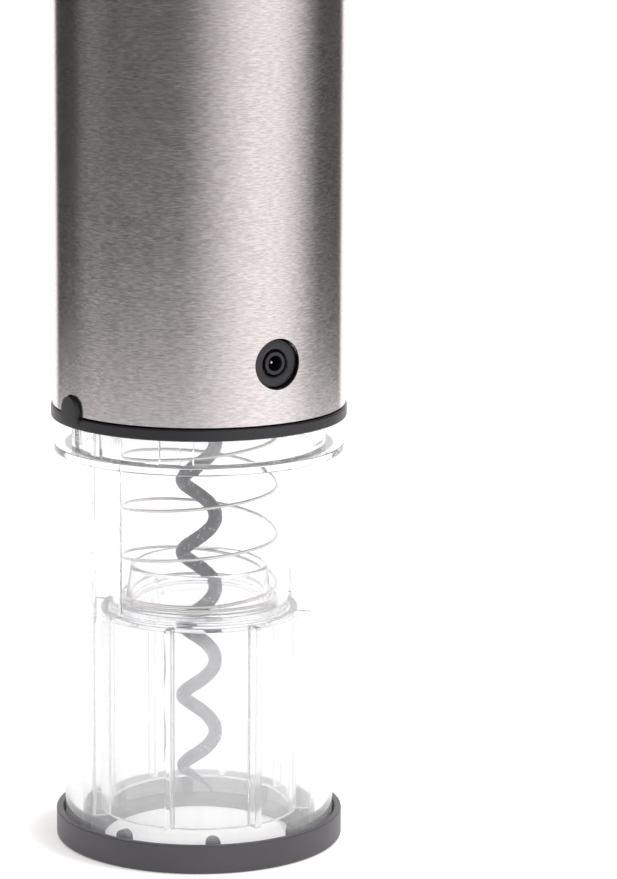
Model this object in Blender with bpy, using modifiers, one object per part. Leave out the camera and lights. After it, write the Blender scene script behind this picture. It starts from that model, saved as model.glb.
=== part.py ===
"""Electric wine opener: a cordless, rechargeable corkscrew that stands on its clear lower cover.

Units are metres, +Z is up and the origin is the centre of the base ring's underside.  Directions
round the body are azimuths in degrees: 0 is the front (-Y, the buttons), 90 is +X and 180 is the
back (+Y, the charging jack).
"""

import math

import bmesh
import bpy
from mathutils import Matrix, Vector

MM = 0.001

# Faceting and play
SIDES = 36
MEDIUM_SIDES = 20
SMALL_SIDES = 12
GAP = 0.3 * MM
PLAY = 0.15 * MM
CUT = 1.0 * MM

# Outer body
BODY_DIAMETER = 50.0 * MM
SLEEVE_WALL = 0.6 * MM
CHASSIS_WALL = 1.4 * MM
TRIM_PROUD = 0.3 * MM
TRIM_BAND = 2.0 * MM
TAB_WIDTH = 4.8 * MM
TAB_HEIGHT = 3.4 * MM
TAB_PROUD = 0.4 * MM

# Clear cover and its base
COVER_HEIGHT = 68.6 * MM
COVER_WALL = 3.0 * MM
COVER_INSET = 2.1 * MM
COVER_DRAFT = 0.4 * MM
FLANGE_THICK = 1.3 * MM
FLANGE_INSET = 0.15 * MM
NECK_SHOW = 4.6 * MM
NECK_STEP = 1.2 * MM
NECK_WALL = 1.7 * MM
KEY_PROUD = 0.6 * MM
KEY_WIDTH = 2.4 * MM
KEY_AZIMUTHS = (76, 97, 128, 143, 256, 277, 308, 323)
BASE_HEIGHT = 5.0 * MM
BASE_WALL = 1.2 * MM
BASE_FLOOR = 1.3 * MM
BASE_CHAMFER = 0.4 * MM
BASE_LIP_CLEARANCE = 0.7 * MM
PEG_COUNT = 8
PEG_START = 20.1
PEG_WIDTH = 2.4 * MM
PEG_THICK = 1.1 * MM
PEG_RISE = 0.4 * MM

# Bottle guide
NECK_BORE_RADIUS = 15.8 * MM
GUIDE_WALL = 1.3 * MM
SHELF_HEIGHT = 40.1 * MM
SHELF_THICK = 1.4 * MM
CORK_HOLE_RADIUS = 11.8 * MM
RIB_WIDTH = 1.2 * MM
RIB_COUNT = 8
RIB_START = 43

# Cork guide and its spring
COLLAR_RADIUS = 12.7 * MM
COLLAR_WALL = 0.9 * MM
COLLAR_HEIGHT = 7.0 * MM
COLLAR_TAPER = 0.8 * MM
COLLAR_FLANGE = 0.8 * MM
COLLAR_EDGE = 0.5 * MM
SPRING_WIRE = 0.55 * MM
SPRING_CLEARANCE = 0.4 * MM
SPRING_TURNS = 3.75
SPRING_REST_TURNS = 1.3
SPRING_START = 53
RETAINER_THICK = 1.5 * MM

# Worm
WORM_RADIUS = 2.85 * MM
WORM_WIRE = 2.4 * MM
WORM_PITCH = 12.7 * MM
WORM_TIP = 6.7 * MM
WORM_TURN_ANGLE = -41.6
WORM_TURN_HEIGHT = 62.8 * MM
WORM_TAPER = 9.0 * MM
WORM_POINT = 0.12
CHUCK_RADIUS = 5.5 * MM
CHUCK_LENGTH = 9.0 * MM

# Planetary gearbox, two alike stages
MODULE = 0.8 * MM
SUN_TEETH = 12
PLANET_TEETH = 12
RING_TEETH = SUN_TEETH + 2 * PLANET_TEETH
PLANETS = 3
PRESSURE_ANGLE = math.radians(25)
TOOTH_PLAY = 0.16 * MM
RING_ADDENDUM = 0.6
FACE_WIDTH = 6.4 * MM
RING_BACK = 1.8 * MM
CARRIER_THICK = 1.8 * MM
CARRIER_FLOAT = 1.2 * MM
PIN_RADIUS = 1.2 * MM
SHAFT_RADIUS = 3.0 * MM
BUSH_WALL = 1.2 * MM
PLATE_THICK = 2.5 * MM
BOSS_DROP = 3.0 * MM
BOSS_RADIUS = 7.0 * MM
LUG_RADIUS = 2.6 * MM
LUG_OFFSET = 1.6 * MM
LUG_INSET = 0.1 * MM
LEDGE_THICK = 1.5 * MM
MOTOR_SHAFT_RADIUS = 1.15 * MM

# Motor and batteries
MOTOR_RADIUS = 13.8 * MM
MOTOR_LENGTH = 37.8 * MM
MOTOR_BOSS_RADIUS = 5.0 * MM
MOTOR_BOSS = 2.0 * MM
MOTOR_TAIL = 3.4 * MM
MOTOR_SPACE = 3.5 * MM
CELL_RADIUS = 7.1 * MM
CELL_LENGTH = 48.5 * MM
CELL_TIP = 1.0 * MM
STRIP_THICK = 0.5 * MM

# Charging jack
JACK_RISE = 6.3 * MM
JACK_DISC_RADIUS = 4.0 * MM
JACK_DISC_THICK = 1.4 * MM
JACK_SINK = 1.0 * MM
JACK_NOSE_RADIUS = 1.95 * MM
JACK_HOLE_RADIUS = 1.3 * MM
JACK_HOLE_DEPTH = 7.5 * MM
JACK_PIN_RADIUS = 0.4 * MM
JACK_WIDTH = 7.6 * MM
JACK_TALL = 6.6 * MM
JACK_LENGTH = 9.0 * MM

# Controls
PANEL_WIDTH = 17.0 * MM
PANEL_LENGTH = 50.0 * MM
BUTTON_RADIUS = 5.2 * MM
BUTTON_SPACING = 22.0 * MM
BUTTON_FLANGE = 0.7 * MM
BUTTON_TRAVEL = 0.4 * MM
BUTTON_EDGE = 0.4 * MM
ICON_RADIUS = 2.3 * MM
ICON_DEPTH = 0.25 * MM
LENS_RADIUS = 1.5 * MM
LED_SIZE = 1.6 * MM
LED_TALL = 1.1 * MM
SWITCH_SIZE = 6.0 * MM
SWITCH_TALL = 1.5 * MM
PLUNGER_RADIUS = 1.7 * MM
PLUNGER_TALL = 0.7 * MM
BOARD_WIDTH = 19.0 * MM
BOARD_LENGTH = 46.0 * MM
BOARD_THICK = 1.6 * MM
POST_RADIUS = 1.6 * MM

# Handle top
TOP_SPACE = 38.0 * MM
PANEL_DROP = 9.0 * MM
CAP_HEIGHT = 9.7 * MM
CAP_ROUND = 3.2 * MM
CAP_DOME = 0.8 * MM
CAP_PLUG = 4.0 * MM
CAP_WALL = 2.2 * MM

# Screws
SCREW_RADIUS = 1.0 * MM
SCREW_HEAD_RADIUS = 1.9 * MM
SCREW_HEAD = 1.2 * MM
SCREW_BOSS_RADIUS = 3.0 * MM
SCREW_SEAT = 9.0 * MM
SCREW_BITE = 8.0 * MM

# Radii that follow
BODY_RADIUS = BODY_DIAMETER / 2
SLEEVE_BORE = BODY_RADIUS - SLEEVE_WALL
CHASSIS_RADIUS = SLEEVE_BORE - GAP
CHASSIS_BORE = CHASSIS_RADIUS - CHASSIS_WALL
TRIM_RADIUS = BODY_RADIUS + TRIM_PROUD
NECK_RADIUS = CHASSIS_BORE - GAP - KEY_PROUD - 0.1 * MM
COVER_RADIUS = BODY_RADIUS - COVER_INSET
COVER_FOOT_RADIUS = COVER_RADIUS + COVER_DRAFT
FLANGE_RADIUS = BODY_RADIUS - FLANGE_INSET
BASE_RADIUS = COVER_FOOT_RADIUS + GAP + BASE_WALL
COVER_BORE = COVER_RADIUS - COVER_WALL
COVER_FOOT_BORE = COVER_FOOT_RADIUS - COVER_WALL
SPRING_RADIUS = COLLAR_RADIUS + SPRING_CLEARANCE + SPRING_WIRE / 2
COLLAR_FOOT_RADIUS = SPRING_RADIUS + SPRING_WIRE / 2
GUIDE_BORE = COLLAR_FOOT_RADIUS + SPRING_CLEARANCE
GUIDE_RADIUS = GUIDE_BORE + GUIDE_WALL
GUIDE_FOOT_RADIUS = max(NECK_BORE_RADIUS + GUIDE_WALL, GUIDE_RADIUS + CUT)
SUN_PITCH_RADIUS = MODULE * SUN_TEETH / 2
PLANET_PITCH_RADIUS = MODULE * PLANET_TEETH / 2
RING_PITCH_RADIUS = MODULE * RING_TEETH / 2
PLANET_CENTRE = SUN_PITCH_RADIUS + PLANET_PITCH_RADIUS
RING_ROOT_RADIUS = RING_PITCH_RADIUS + 1.25 * MODULE
GEARBOX_RADIUS = RING_ROOT_RADIUS + RING_BACK
CARRIER_RADIUS = RING_PITCH_RADIUS - RING_ADDENDUM * MODULE - 2 * GAP
BUSH_RADIUS = SHAFT_RADIUS + PLAY + BUSH_WALL
LUG_CENTRE = (RING_ROOT_RADIUS + GEARBOX_RADIUS) / 2 + LUG_OFFSET
CELL_CENTRE = CELL_RADIUS + GAP / 2
PACK_RADIUS = CELL_CENTRE * math.sqrt(2) + CELL_RADIUS
SCREW_X = CHASSIS_BORE - SCREW_BOSS_RADIUS - 1.5 * MM

# Heights that follow, from the table up
FLANGE_TOP = COVER_HEIGHT + FLANGE_THICK
TRIM_BOTTOM = FLANGE_TOP + NECK_SHOW
TRIM_TOP = TRIM_BOTTOM + TRIM_BAND
TAB_TOP = TRIM_TOP + TAB_HEIGHT
NECK_TOP = TAB_TOP + GAP
SLEEVE_BOTTOM = TRIM_TOP + GAP
CHASSIS_BOTTOM = NECK_TOP + GAP
JACK_HEIGHT = CHASSIS_BOTTOM + JACK_RISE
COVER_FOOT = BASE_FLOOR + GAP
PEG_TOP = BASE_HEIGHT + PEG_RISE
GUIDE_FOOT = PEG_TOP + GAP
SHELF_TOP = SHELF_HEIGHT + SHELF_THICK
COLLAR_FOOT = SHELF_TOP + GAP
SPRING_FOOT = COLLAR_FOOT + COLLAR_FLANGE + PLAY
GUIDE_TOP = NECK_TOP - CUT
RETAINER_BOTTOM = GUIDE_TOP - RETAINER_THICK - GAP
SPRING_TOP = RETAINER_BOTTOM - PLAY
PLATE_BOTTOM = JACK_HEIGHT + JACK_DISC_RADIUS + 2 * CUT
PLATE_TOP = PLATE_BOTTOM + PLATE_THICK
CHUCK_TOP = PLATE_BOTTOM - BOSS_DROP - GAP
CHUCK_BOTTOM = CHUCK_TOP - CHUCK_LENGTH
SOCKET_FLOOR = CHUCK_BOTTOM + CHUCK_LENGTH / 3
RING_BOTTOM = PLATE_TOP + GAP
OUTPUT_CARRIER_BOTTOM = RING_BOTTOM + CARRIER_FLOAT
STAGE_PITCH = CARRIER_THICK + FACE_WIDTH + 3 * GAP
FIRST_CARRIER_BOTTOM = OUTPUT_CARRIER_BOTTOM + STAGE_PITCH
RING_TOP = FIRST_CARRIER_BOTTOM + STAGE_PITCH + CUT
MOTOR_PLATE_TOP = RING_TOP + GAP + PLATE_THICK
MOTOR_BOTTOM = MOTOR_PLATE_TOP + GAP
MOTOR_TOP = MOTOR_BOTTOM + MOTOR_LENGTH
TAIL_TOP = MOTOR_TOP + GAP + MOTOR_TAIL
CELL_BOTTOM = TAIL_TOP + MOTOR_SPACE + STRIP_THICK + GAP
CELL_TOP = CELL_BOTTOM + CELL_LENGTH
CHASSIS_TOP = CELL_TOP + TOP_SPACE
CAP_BOTTOM = CHASSIS_TOP + GAP
PANEL_HEIGHT = CHASSIS_TOP - PANEL_DROP - PANEL_LENGTH / 2
BUTTON_HEIGHTS = {"up": PANEL_HEIGHT + BUTTON_SPACING / 2, "down": PANEL_HEIGHT - BUTTON_SPACING / 2}
BOSS_HEIGHTS = (MOTOR_BOTTOM + MOTOR_LENGTH / 3, CHASSIS_TOP - CAP_PLUG - 3 * SCREW_BOSS_RADIUS)

# Depths of the controls, as distances in front of the axis
BUTTON_FACE = TRIM_RADIUS
PANEL_BACK = CHASSIS_RADIUS + GAP
FLANGE_FRONT = math.sqrt((CHASSIS_BORE - GAP) ** 2 - (BUTTON_RADIUS + BUTTON_FLANGE) ** 2)
FLANGE_BACK = FLANGE_FRONT - BUTTON_FLANGE
PLUNGER_FRONT = FLANGE_BACK - BUTTON_TRAVEL - PLAY
SWITCH_FRONT = PLUNGER_FRONT - PLUNGER_TALL
BOARD_FRONT = SWITCH_FRONT - SWITCH_TALL - GAP
BOARD_BACK = BOARD_FRONT - BOARD_THICK
CELL_PLATE_RADIUS = min(PACK_RADIUS, BOARD_BACK - GAP)

COLOURS = {
    "brushed_steel": ((0.62, 0.60, 0.60, 1), 0.32, 1.0),
    "black_plastic": ((0.02, 0.02, 0.024, 1), 0.38, 0.0),
    "clear_plastic": ((0.93, 0.94, 0.95, 0.35), 0.05, 0.0),
    "coated_steel": ((0.13, 0.13, 0.15, 1), 0.5, 0.3),
    "spring_steel": ((0.6, 0.58, 0.55, 1), 0.25, 1.0),
    "zinc": ((0.62, 0.63, 0.65, 1), 0.35, 1.0),
    "sintered_steel": ((0.35, 0.35, 0.37, 1), 0.45, 1.0),
    "brass": ((0.75, 0.56, 0.25, 1), 0.35, 1.0),
    "white_plastic": ((0.85, 0.85, 0.83, 1), 0.45, 0.0),
    "board_green": ((0.03, 0.2, 0.08, 1), 0.5, 0.0),
    "cell_wrap": ((0.05, 0.25, 0.12, 1), 0.35, 0.0),
    "nickel": ((0.7, 0.68, 0.62, 1), 0.25, 1.0),
}


def fresh_scene():
    """Empty the scene and make one collection for the parts and one for the cutters."""
    for old in list(bpy.data.objects):
        bpy.data.objects.remove(old)
    made = []
    for name in ("electric_wine_opener", "cutters"):
        collection = bpy.data.collections.new(name)
        bpy.context.scene.collection.children.link(collection)
        made.append(collection)
    return made


PARTS, CUTTERS = fresh_scene()


def finish_of(name):
    """The material of that name, made once."""
    found = bpy.data.materials.get(name)
    if found:
        return found
    colour, roughness, metallic = COLOURS[name]
    material = bpy.data.materials.new(name)
    material.use_nodes = True
    shader = material.node_tree.nodes["Principled BSDF"]
    shader.inputs["Base Color"].default_value = colour
    shader.inputs["Roughness"].default_value = roughness
    shader.inputs["Metallic"].default_value = metallic
    return material


def place(name, data, finish):
    """An object from that mesh or curve: a part where it has a finish, a hidden cutter where not."""
    obj = bpy.data.objects.new(name, data)
    if finish:
        PARTS.objects.link(obj)
        data.materials.append(finish_of(finish))
    else:
        CUTTERS.objects.link(obj)
        obj.hide_render = True
        obj.display_type = "WIRE"
    return obj


def mesh_from(name, shape, finish):
    """Turn a finished bmesh into an object."""
    data = bpy.data.meshes.new(name)
    shape.to_mesh(data)
    shape.free()
    return place(name, data, finish)


def turned(name, profile, finish, steps=SIDES):
    """A profile of (radius, height) points turned about Z. It runs down its outer side.

    A profile with both ends on the axis is solid; any other is a closed loop, so a ring.
    """
    data = bpy.data.meshes.new(name)
    solid = profile[0][0] == 0 and profile[-1][0] == 0
    edges = [(i, i + 1) for i in range(len(profile) - 1)]
    if not solid:
        edges.append((len(profile) - 1, 0))
    data.from_pydata([(radius, 0, height) for radius, height in profile], edges, [])
    obj = place(name, data, finish)
    screw = obj.modifiers.new("Turn", "SCREW")
    screw.steps = screw.render_steps = steps
    screw.use_merge_vertices = True
    screw.merge_threshold = 0.01 * MM
    screw.use_smooth_shade = False
    return obj


def ring(name, outer, inner, bottom, top, finish, steps=SIDES):
    """A plain tube between two radii and two heights."""
    profile = [(outer, top), (outer, bottom), (inner, bottom), (inner, top)]
    return turned(name, profile, finish, steps)


def rod(name, radius, length, centre, finish, axis="Z", sides=SMALL_SIDES):
    """A round bar centred on a point, lying along Y or Z."""
    shape = bmesh.new()
    bmesh.ops.create_cone(
        shape, cap_ends=True, segments=sides, radius1=radius, radius2=radius, depth=length
    )
    obj = mesh_from(name, shape, finish)
    obj.location = centre
    if axis == "Y":
        obj.rotation_euler.x = math.pi / 2
    return obj


def block(name, low, high, finish):
    """A box between two corners."""
    low, high = Vector(low), Vector(high)
    shape = bmesh.new()
    bmesh.ops.create_cube(shape, size=1)
    bmesh.ops.scale(shape, vec=high - low, verts=shape.verts)
    obj = mesh_from(name, shape, finish)
    obj.location = (low + high) / 2
    return obj


def spokes(name, azimuths, inner, outer, width, bottom, top):
    """Upright fins between two radii, one at each azimuth, as one cutter or union piece."""
    shape = bmesh.new()
    size = Matrix.Diagonal((width, outer - inner, top - bottom, 1))
    middle = Matrix.Translation((0, -(inner + outer) / 2, (bottom + top) / 2))
    for azimuth in azimuths:
        turn = Matrix.Rotation(math.radians(azimuth), 4, "Z")
        bmesh.ops.create_cube(shape, size=1, matrix=turn @ middle @ size)
    return mesh_from(name, shape, None)


def flat(name, outlines, bottom, top, finish):
    """A level plate from closed outlines of (x, y) points; outlines inside the first are holes."""
    data = bpy.data.curves.new(name, "CURVE")
    data.dimensions = "2D"
    data.fill_mode = "BOTH"
    data.extrude = (top - bottom) / 2
    for outline in outlines:
        spline = data.splines.new("POLY")
        spline.points.add(len(outline) - 1)
        for point, (x, y) in zip(spline.points, outline):
            point.co = (x, y, 0, 1)
        spline.use_cyclic_u = True
    obj = place(name, data, finish)
    obj.location.z = (bottom + top) / 2
    return obj


def wire(name, path, thickness, finish, radii=None, resolution=2):
    """A round wire along a list of points, with an optional share of its thickness at each."""
    data = bpy.data.curves.new(name, "CURVE")
    data.dimensions = "3D"
    data.bevel_depth = thickness / 2
    data.bevel_resolution = resolution
    data.use_fill_caps = True
    spline = data.splines.new("POLY")
    spline.points.add(len(path) - 1)
    for index, (point, co) in enumerate(zip(spline.points, path)):
        point.co = (*co, 1)
        point.radius = radii[index] if radii else 1
    return place(name, data, finish)


def as_mesh(curve):
    """The curve object made a mesh object with welded caps, so that a Boolean can use it."""
    bpy.context.view_layer.update()
    graph = bpy.context.evaluated_depsgraph_get()
    data = bpy.data.meshes.new_from_object(curve.evaluated_get(graph))
    shape = bmesh.new()
    shape.from_mesh(data)
    bmesh.ops.remove_doubles(shape, verts=shape.verts, dist=0.005 * MM)
    shape.to_mesh(data)
    shape.free()
    name, matrix = curve.name, curve.matrix_world.copy()
    collection, hidden = curve.users_collection[0], curve.hide_render
    bpy.data.objects.remove(curve)
    obj = bpy.data.objects.new(name, data)
    collection.objects.link(obj)
    obj.matrix_world = matrix
    obj.hide_render = hidden
    if hidden:
        obj.display_type = "WIRE"
    return obj


def combine(obj, operation, *others):
    """Boolean modifiers that cut or join other objects."""
    for other in others:
        modifier = obj.modifiers.new(f"{operation.title()} {other.name}", "BOOLEAN")
        modifier.operation = operation
        modifier.solver = "EXACT"
        modifier.object = other
    return obj


def cut(obj, *others):
    """Take the other objects away from this one."""
    return combine(obj, "DIFFERENCE", *others)


def join(obj, *others):
    """Join the other objects to this one."""
    return combine(obj, "UNION", *others)


def circle(radius, sides=SMALL_SIDES, centre=(0, 0)):
    """Points round a circle."""
    steps = [2 * math.pi * i / sides for i in range(sides)]
    return [(centre[0] + radius * math.cos(a), centre[1] + radius * math.sin(a)) for a in steps]


def towards(azimuth, radius):
    """The (x, y) of a point at that azimuth and radius."""
    angle = math.radians(azimuth)
    return radius * math.sin(angle), -radius * math.cos(angle)


def involute(angle):
    """The involute function."""
    return math.tan(angle) - angle


def half_width(teeth, radius, play):
    """Half the angle of a tooth (or of a ring's tooth space) at a radius."""
    pitch_radius = MODULE * teeth / 2
    base_radius = pitch_radius * math.cos(PRESSURE_ANGLE)
    there = math.acos(min(1, base_radius / max(radius, base_radius)))
    middle = math.pi / (2 * teeth) + play / (2 * pitch_radius)
    return middle + involute(PRESSURE_ANGLE) - involute(there)


def toothed_outline(teeth, radii, play, phase):
    """A gear's outline. Each tooth (or ring's space) rises through the radii and comes down again."""
    outline = []
    for tooth in range(teeth):
        centre = 2 * math.pi * (tooth + phase) / teeth
        left = [(r, centre - half_width(teeth, r, play)) for r in radii]
        right = [(r, centre + half_width(teeth, r, play)) for r in reversed(radii)]
        outline += [(r * math.cos(a), r * math.sin(a)) for r, a in left + right]
    return outline


def gear_outline(teeth, phase=0.0):
    """An outside gear's outline, with a tooth on +X at phase 0."""
    pitch_radius = MODULE * teeth / 2
    root, tip = pitch_radius - 1.25 * MODULE, pitch_radius + MODULE
    return toothed_outline(teeth, (root, pitch_radius, tip), -TOOTH_PLAY, phase)


def ring_outline():
    """The inside of the ring gear, with a tooth on +X."""
    tip = RING_PITCH_RADIUS - RING_ADDENDUM * MODULE
    return toothed_outline(RING_TEETH, (tip, RING_ROOT_RADIUS), TOOTH_PLAY, 0.5)


def planet_spots():
    """The (x, y) of each planet's pin."""
    return [towards(90 + 360 * i / PLANETS, PLANET_CENTRE) for i in range(PLANETS)]


def screw_spots():
    """The (x, y) of the gearbox screws, outside the ring's teeth."""
    return [towards(30 + 360 * i / PLANETS, LUG_CENTRE) for i in range(PLANETS)]


def rods_at(name, spots, radius, bottom, top, finish=None, sides=SMALL_SIDES):
    """One upright rod at each (x, y)."""
    middle = (bottom + top) / 2
    return [
        rod(f"{name}_{i + 1}", radius, top - bottom, (*spot, middle), finish, sides=sides)
        for i, spot in enumerate(spots)
    ]


def lugs(name, bottom, top):
    """Round lugs for the gearbox screws, a little thinner than the plate that they stand out of."""
    return rods_at(name, screw_spots(), LUG_RADIUS, bottom + LUG_INSET, top - LUG_INSET)


def facing(obj, azimuth, height):
    """Turn a piece made along Z so that its top points out from the axis at that azimuth."""
    obj.rotation_euler = (math.pi / 2, 0, math.radians(azimuth))
    obj.location = (0, 0, height)
    return obj


def stadium_prism(name, width, length, height, near, far):
    """A prism with a stadium outline, facing the front, between two distances from the axis."""
    half, straight = width / 2, (length - width) / 2
    outline = []
    for end, start in ((1, 0), (-1, math.pi)):
        for i in range(11):
            angle = start + math.pi * i / 10
            outline.append((half * math.cos(angle), end * straight + half * math.sin(angle)))
    prism = flat(name, [outline], near, far, None)
    prism.rotation_euler.x = math.pi / 2
    prism.location = (0, -(near + far) / 2, height)
    return as_mesh(prism)


def make_base():
    """Black base ring with an inward floor and upright pegs that hold the clear cover."""
    lip = NECK_BORE_RADIUS + BASE_LIP_CLEARANCE
    profile = [
        (BASE_RADIUS, BASE_HEIGHT),
        (BASE_RADIUS, BASE_CHAMFER),
        (BASE_RADIUS - BASE_CHAMFER, 0),
        (lip, 0),
        (lip, BASE_FLOOR),
        (COVER_FOOT_RADIUS + GAP, BASE_FLOOR),
        (COVER_FOOT_RADIUS + GAP, BASE_HEIGHT),
    ]
    base = turned("base_ring", profile, "black_plastic")
    azimuths = [PEG_START + 360 * i / PEG_COUNT for i in range(PEG_COUNT)]
    outer = COVER_FOOT_BORE - GAP
    join(base, spokes("pegs", azimuths, outer - PEG_THICK, outer, PEG_WIDTH, BASE_FLOOR / 2, PEG_TOP))


def make_clear_housing():
    """Clear outer cover: a drafted tube, a flange and a keyed neck that plugs into the body."""
    inner_neck = NECK_RADIUS - NECK_WALL
    profile = [
        (NECK_RADIUS, NECK_TOP),
        (NECK_RADIUS, FLANGE_TOP),
        (FLANGE_RADIUS, FLANGE_TOP),
        (FLANGE_RADIUS, COVER_HEIGHT),
        (COVER_RADIUS, COVER_HEIGHT),
        (COVER_FOOT_RADIUS, COVER_FOOT),
        (COVER_FOOT_BORE, COVER_FOOT),
        (COVER_BORE, COVER_HEIGHT - NECK_STEP),
        (inner_neck, FLANGE_TOP),
        (inner_neck, NECK_TOP),
    ]
    housing = turned("clear_housing", profile, "clear_plastic")
    inner, outer = NECK_RADIUS - NECK_WALL / 2, NECK_RADIUS + KEY_PROUD
    join(housing, spokes("keys", KEY_AZIMUTHS, inner, outer, KEY_WIDTH, FLANGE_TOP - GAP, NECK_TOP - CUT))


def make_bottle_guide():
    """Clear inner guide: a wide bore for the bottle's neck, a stop shelf and a narrower bore above."""
    foot_bore = GUIDE_FOOT_RADIUS - GUIDE_WALL
    profile = [
        (GUIDE_RADIUS, GUIDE_TOP),
        (GUIDE_RADIUS, SHELF_TOP),
        (GUIDE_FOOT_RADIUS, SHELF_TOP),
        (GUIDE_FOOT_RADIUS, GUIDE_FOOT),
        (foot_bore, GUIDE_FOOT),
        (foot_bore, SHELF_HEIGHT),
        (CORK_HOLE_RADIUS, SHELF_HEIGHT),
        (CORK_HOLE_RADIUS, SHELF_TOP),
        (GUIDE_BORE, SHELF_TOP),
        (GUIDE_BORE, GUIDE_TOP),
    ]
    guide = turned("bottle_guide", profile, "clear_plastic")
    around = [RIB_START + 360 * i / RIB_COUNT for i in range(RIB_COUNT)]
    low = spokes("low_ribs", around, GUIDE_FOOT_RADIUS - GUIDE_WALL / 2, COVER_BORE - GAP, RIB_WIDTH,
                 GUIDE_FOOT + GAP, SHELF_TOP - GAP)
    high = spokes("high_ribs", (90, 270), GUIDE_RADIUS - GUIDE_WALL / 2, NECK_RADIUS - NECK_WALL - GAP,
                  RIB_WIDTH, SHELF_HEIGHT + GAP, GUIDE_TOP - CUT)
    join(guide, low, high)


def make_cork_guide():
    """Sprung clear collar that steadies the cork, its spring, and the ring that holds the spring down."""
    top = COLLAR_FOOT + COLLAR_HEIGHT
    flange_top = COLLAR_FOOT + COLLAR_FLANGE
    rim = COLLAR_RADIUS - COLLAR_TAPER
    profile = [
        (rim - COLLAR_EDGE / 2, top),
        (rim, top - COLLAR_EDGE),
        (COLLAR_RADIUS, flange_top),
        (COLLAR_FOOT_RADIUS, flange_top),
        (COLLAR_FOOT_RADIUS, COLLAR_FOOT),
        (COLLAR_RADIUS - COLLAR_WALL, COLLAR_FOOT),
        (rim - COLLAR_WALL, top),
    ]
    turned("cork_guide", profile, "clear_plastic")
    wire("guide_spring", spring_path(), SPRING_WIRE, "spring_steel", resolution=1)
    ring("spring_retainer", GUIDE_BORE - GAP, CORK_HOLE_RADIUS, RETAINER_BOTTOM,
         RETAINER_BOTTOM + RETAINER_THICK, "white_plastic")


def spring_path(steps=16):
    """Points along the spring: closed end coils with open turns between them, right-handed."""
    closed_pitch = SPRING_WIRE * 1.25
    low = SPRING_FOOT + SPRING_WIRE / 2
    high = SPRING_TOP - SPRING_WIRE / 2
    low_closed = low + closed_pitch * SPRING_REST_TURNS
    high_closed = high - closed_pitch
    turns = SPRING_REST_TURNS + SPRING_TURNS + 1
    count = round(turns * steps)
    path = []
    for index in range(count + 1):
        turn = turns * index / count
        if turn < SPRING_REST_TURNS:
            height = low + closed_pitch * turn
        elif turn < SPRING_REST_TURNS + SPRING_TURNS:
            height = low_closed + (high_closed - low_closed) * (turn - SPRING_REST_TURNS) / SPRING_TURNS
        else:
            height = high - closed_pitch * (turns - turn)
        path.append((*towards(SPRING_START + 360 * turn, SPRING_RADIUS), height))
    return path


def make_worm(steps=15):
    """Right-handed helical worm, pointed at its tip and bent to the axis at its top, and its chuck."""
    shank = CHUCK_BOTTOM - WORM_WIRE / 4
    bend = WORM_PITCH / 3
    count = round((shank - WORM_TIP) / WORM_PITCH * steps)
    path, shares = [], []
    for index in range(count + 1):
        height = WORM_TIP + (shank - WORM_TIP) * index / count
        angle = math.radians(WORM_TURN_ANGLE) + 2 * math.pi * (height - WORM_TURN_HEIGHT) / WORM_PITCH
        bent = min(1, max(0, (height - shank + bend) / bend))
        radius = WORM_RADIUS * (1 - bent * bent * (3 - 2 * bent))
        path.append((radius * math.cos(angle), radius * math.sin(angle), height))
        shares.append(min(1, WORM_POINT + (height - WORM_TIP) / WORM_TAPER))
    path.append((0, 0, SOCKET_FLOOR))
    shares.append(1)
    wire("worm", path, WORM_WIRE, "coated_steel", shares)
    shank_bore, shaft_bore = WORM_WIRE / 2 + PLAY, SHAFT_RADIUS + PLAY
    profile = [
        (CHUCK_RADIUS, CHUCK_TOP),
        (CHUCK_RADIUS, CHUCK_BOTTOM + CUT),
        (CHUCK_RADIUS - CUT, CHUCK_BOTTOM),
        (shank_bore, CHUCK_BOTTOM),
        (shank_bore, SOCKET_FLOOR + GAP),
        (shaft_bore, SOCKET_FLOOR + GAP),
        (shaft_bore, CHUCK_TOP),
    ]
    turned("worm_chuck", profile, "zinc", MEDIUM_SIDES)


def make_output():
    """Gearbox cover with its bushing, and the output carrier whose shaft drives the chuck."""
    seat = BUSH_RADIUS + PLAY
    boss_bottom = PLATE_BOTTOM - BOSS_DROP
    profile = [
        (GEARBOX_RADIUS, PLATE_TOP),
        (GEARBOX_RADIUS, PLATE_BOTTOM),
        (BOSS_RADIUS, PLATE_BOTTOM),
        (BOSS_RADIUS, boss_bottom),
        (seat, boss_bottom),
        (seat, PLATE_TOP),
    ]
    cover = turned("gearbox_cover", profile, "zinc")
    spots = screw_spots()
    join(cover, *lugs("cover_lug", PLATE_BOTTOM, PLATE_TOP))
    head_room = PLATE_BOTTOM + SCREW_HEAD + GAP
    cut(cover, *rods_at("cover_hole", spots, SCREW_RADIUS + PLAY, PLATE_BOTTOM - CUT, PLATE_TOP + CUT))
    cut(cover, *rods_at("head_hole", spots, SCREW_HEAD_RADIUS + PLAY, PLATE_BOTTOM - CUT, head_room))
    ring("output_bushing", BUSH_RADIUS, SHAFT_RADIUS + PLAY, boss_bottom, PLATE_TOP, "brass", MEDIUM_SIDES)
    plate_bottom, plate_top = OUTPUT_CARRIER_BOTTOM, OUTPUT_CARRIER_BOTTOM + CARRIER_THICK
    shaft_bottom, shoulder = SOCKET_FLOOR + 2 * GAP, PLATE_TOP + GAP
    profile = [
        (0, plate_top),
        (CARRIER_RADIUS, plate_top),
        (CARRIER_RADIUS, plate_bottom),
        (SHAFT_RADIUS + CUT, plate_bottom),
        (SHAFT_RADIUS + CUT, shoulder),
        (SHAFT_RADIUS, shoulder),
        (SHAFT_RADIUS, shaft_bottom),
        (0, shaft_bottom),
    ]
    carrier = turned("output_carrier", profile, "sintered_steel", MEDIUM_SIDES)
    join(carrier, *carrier_pins("output", plate_bottom))


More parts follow.
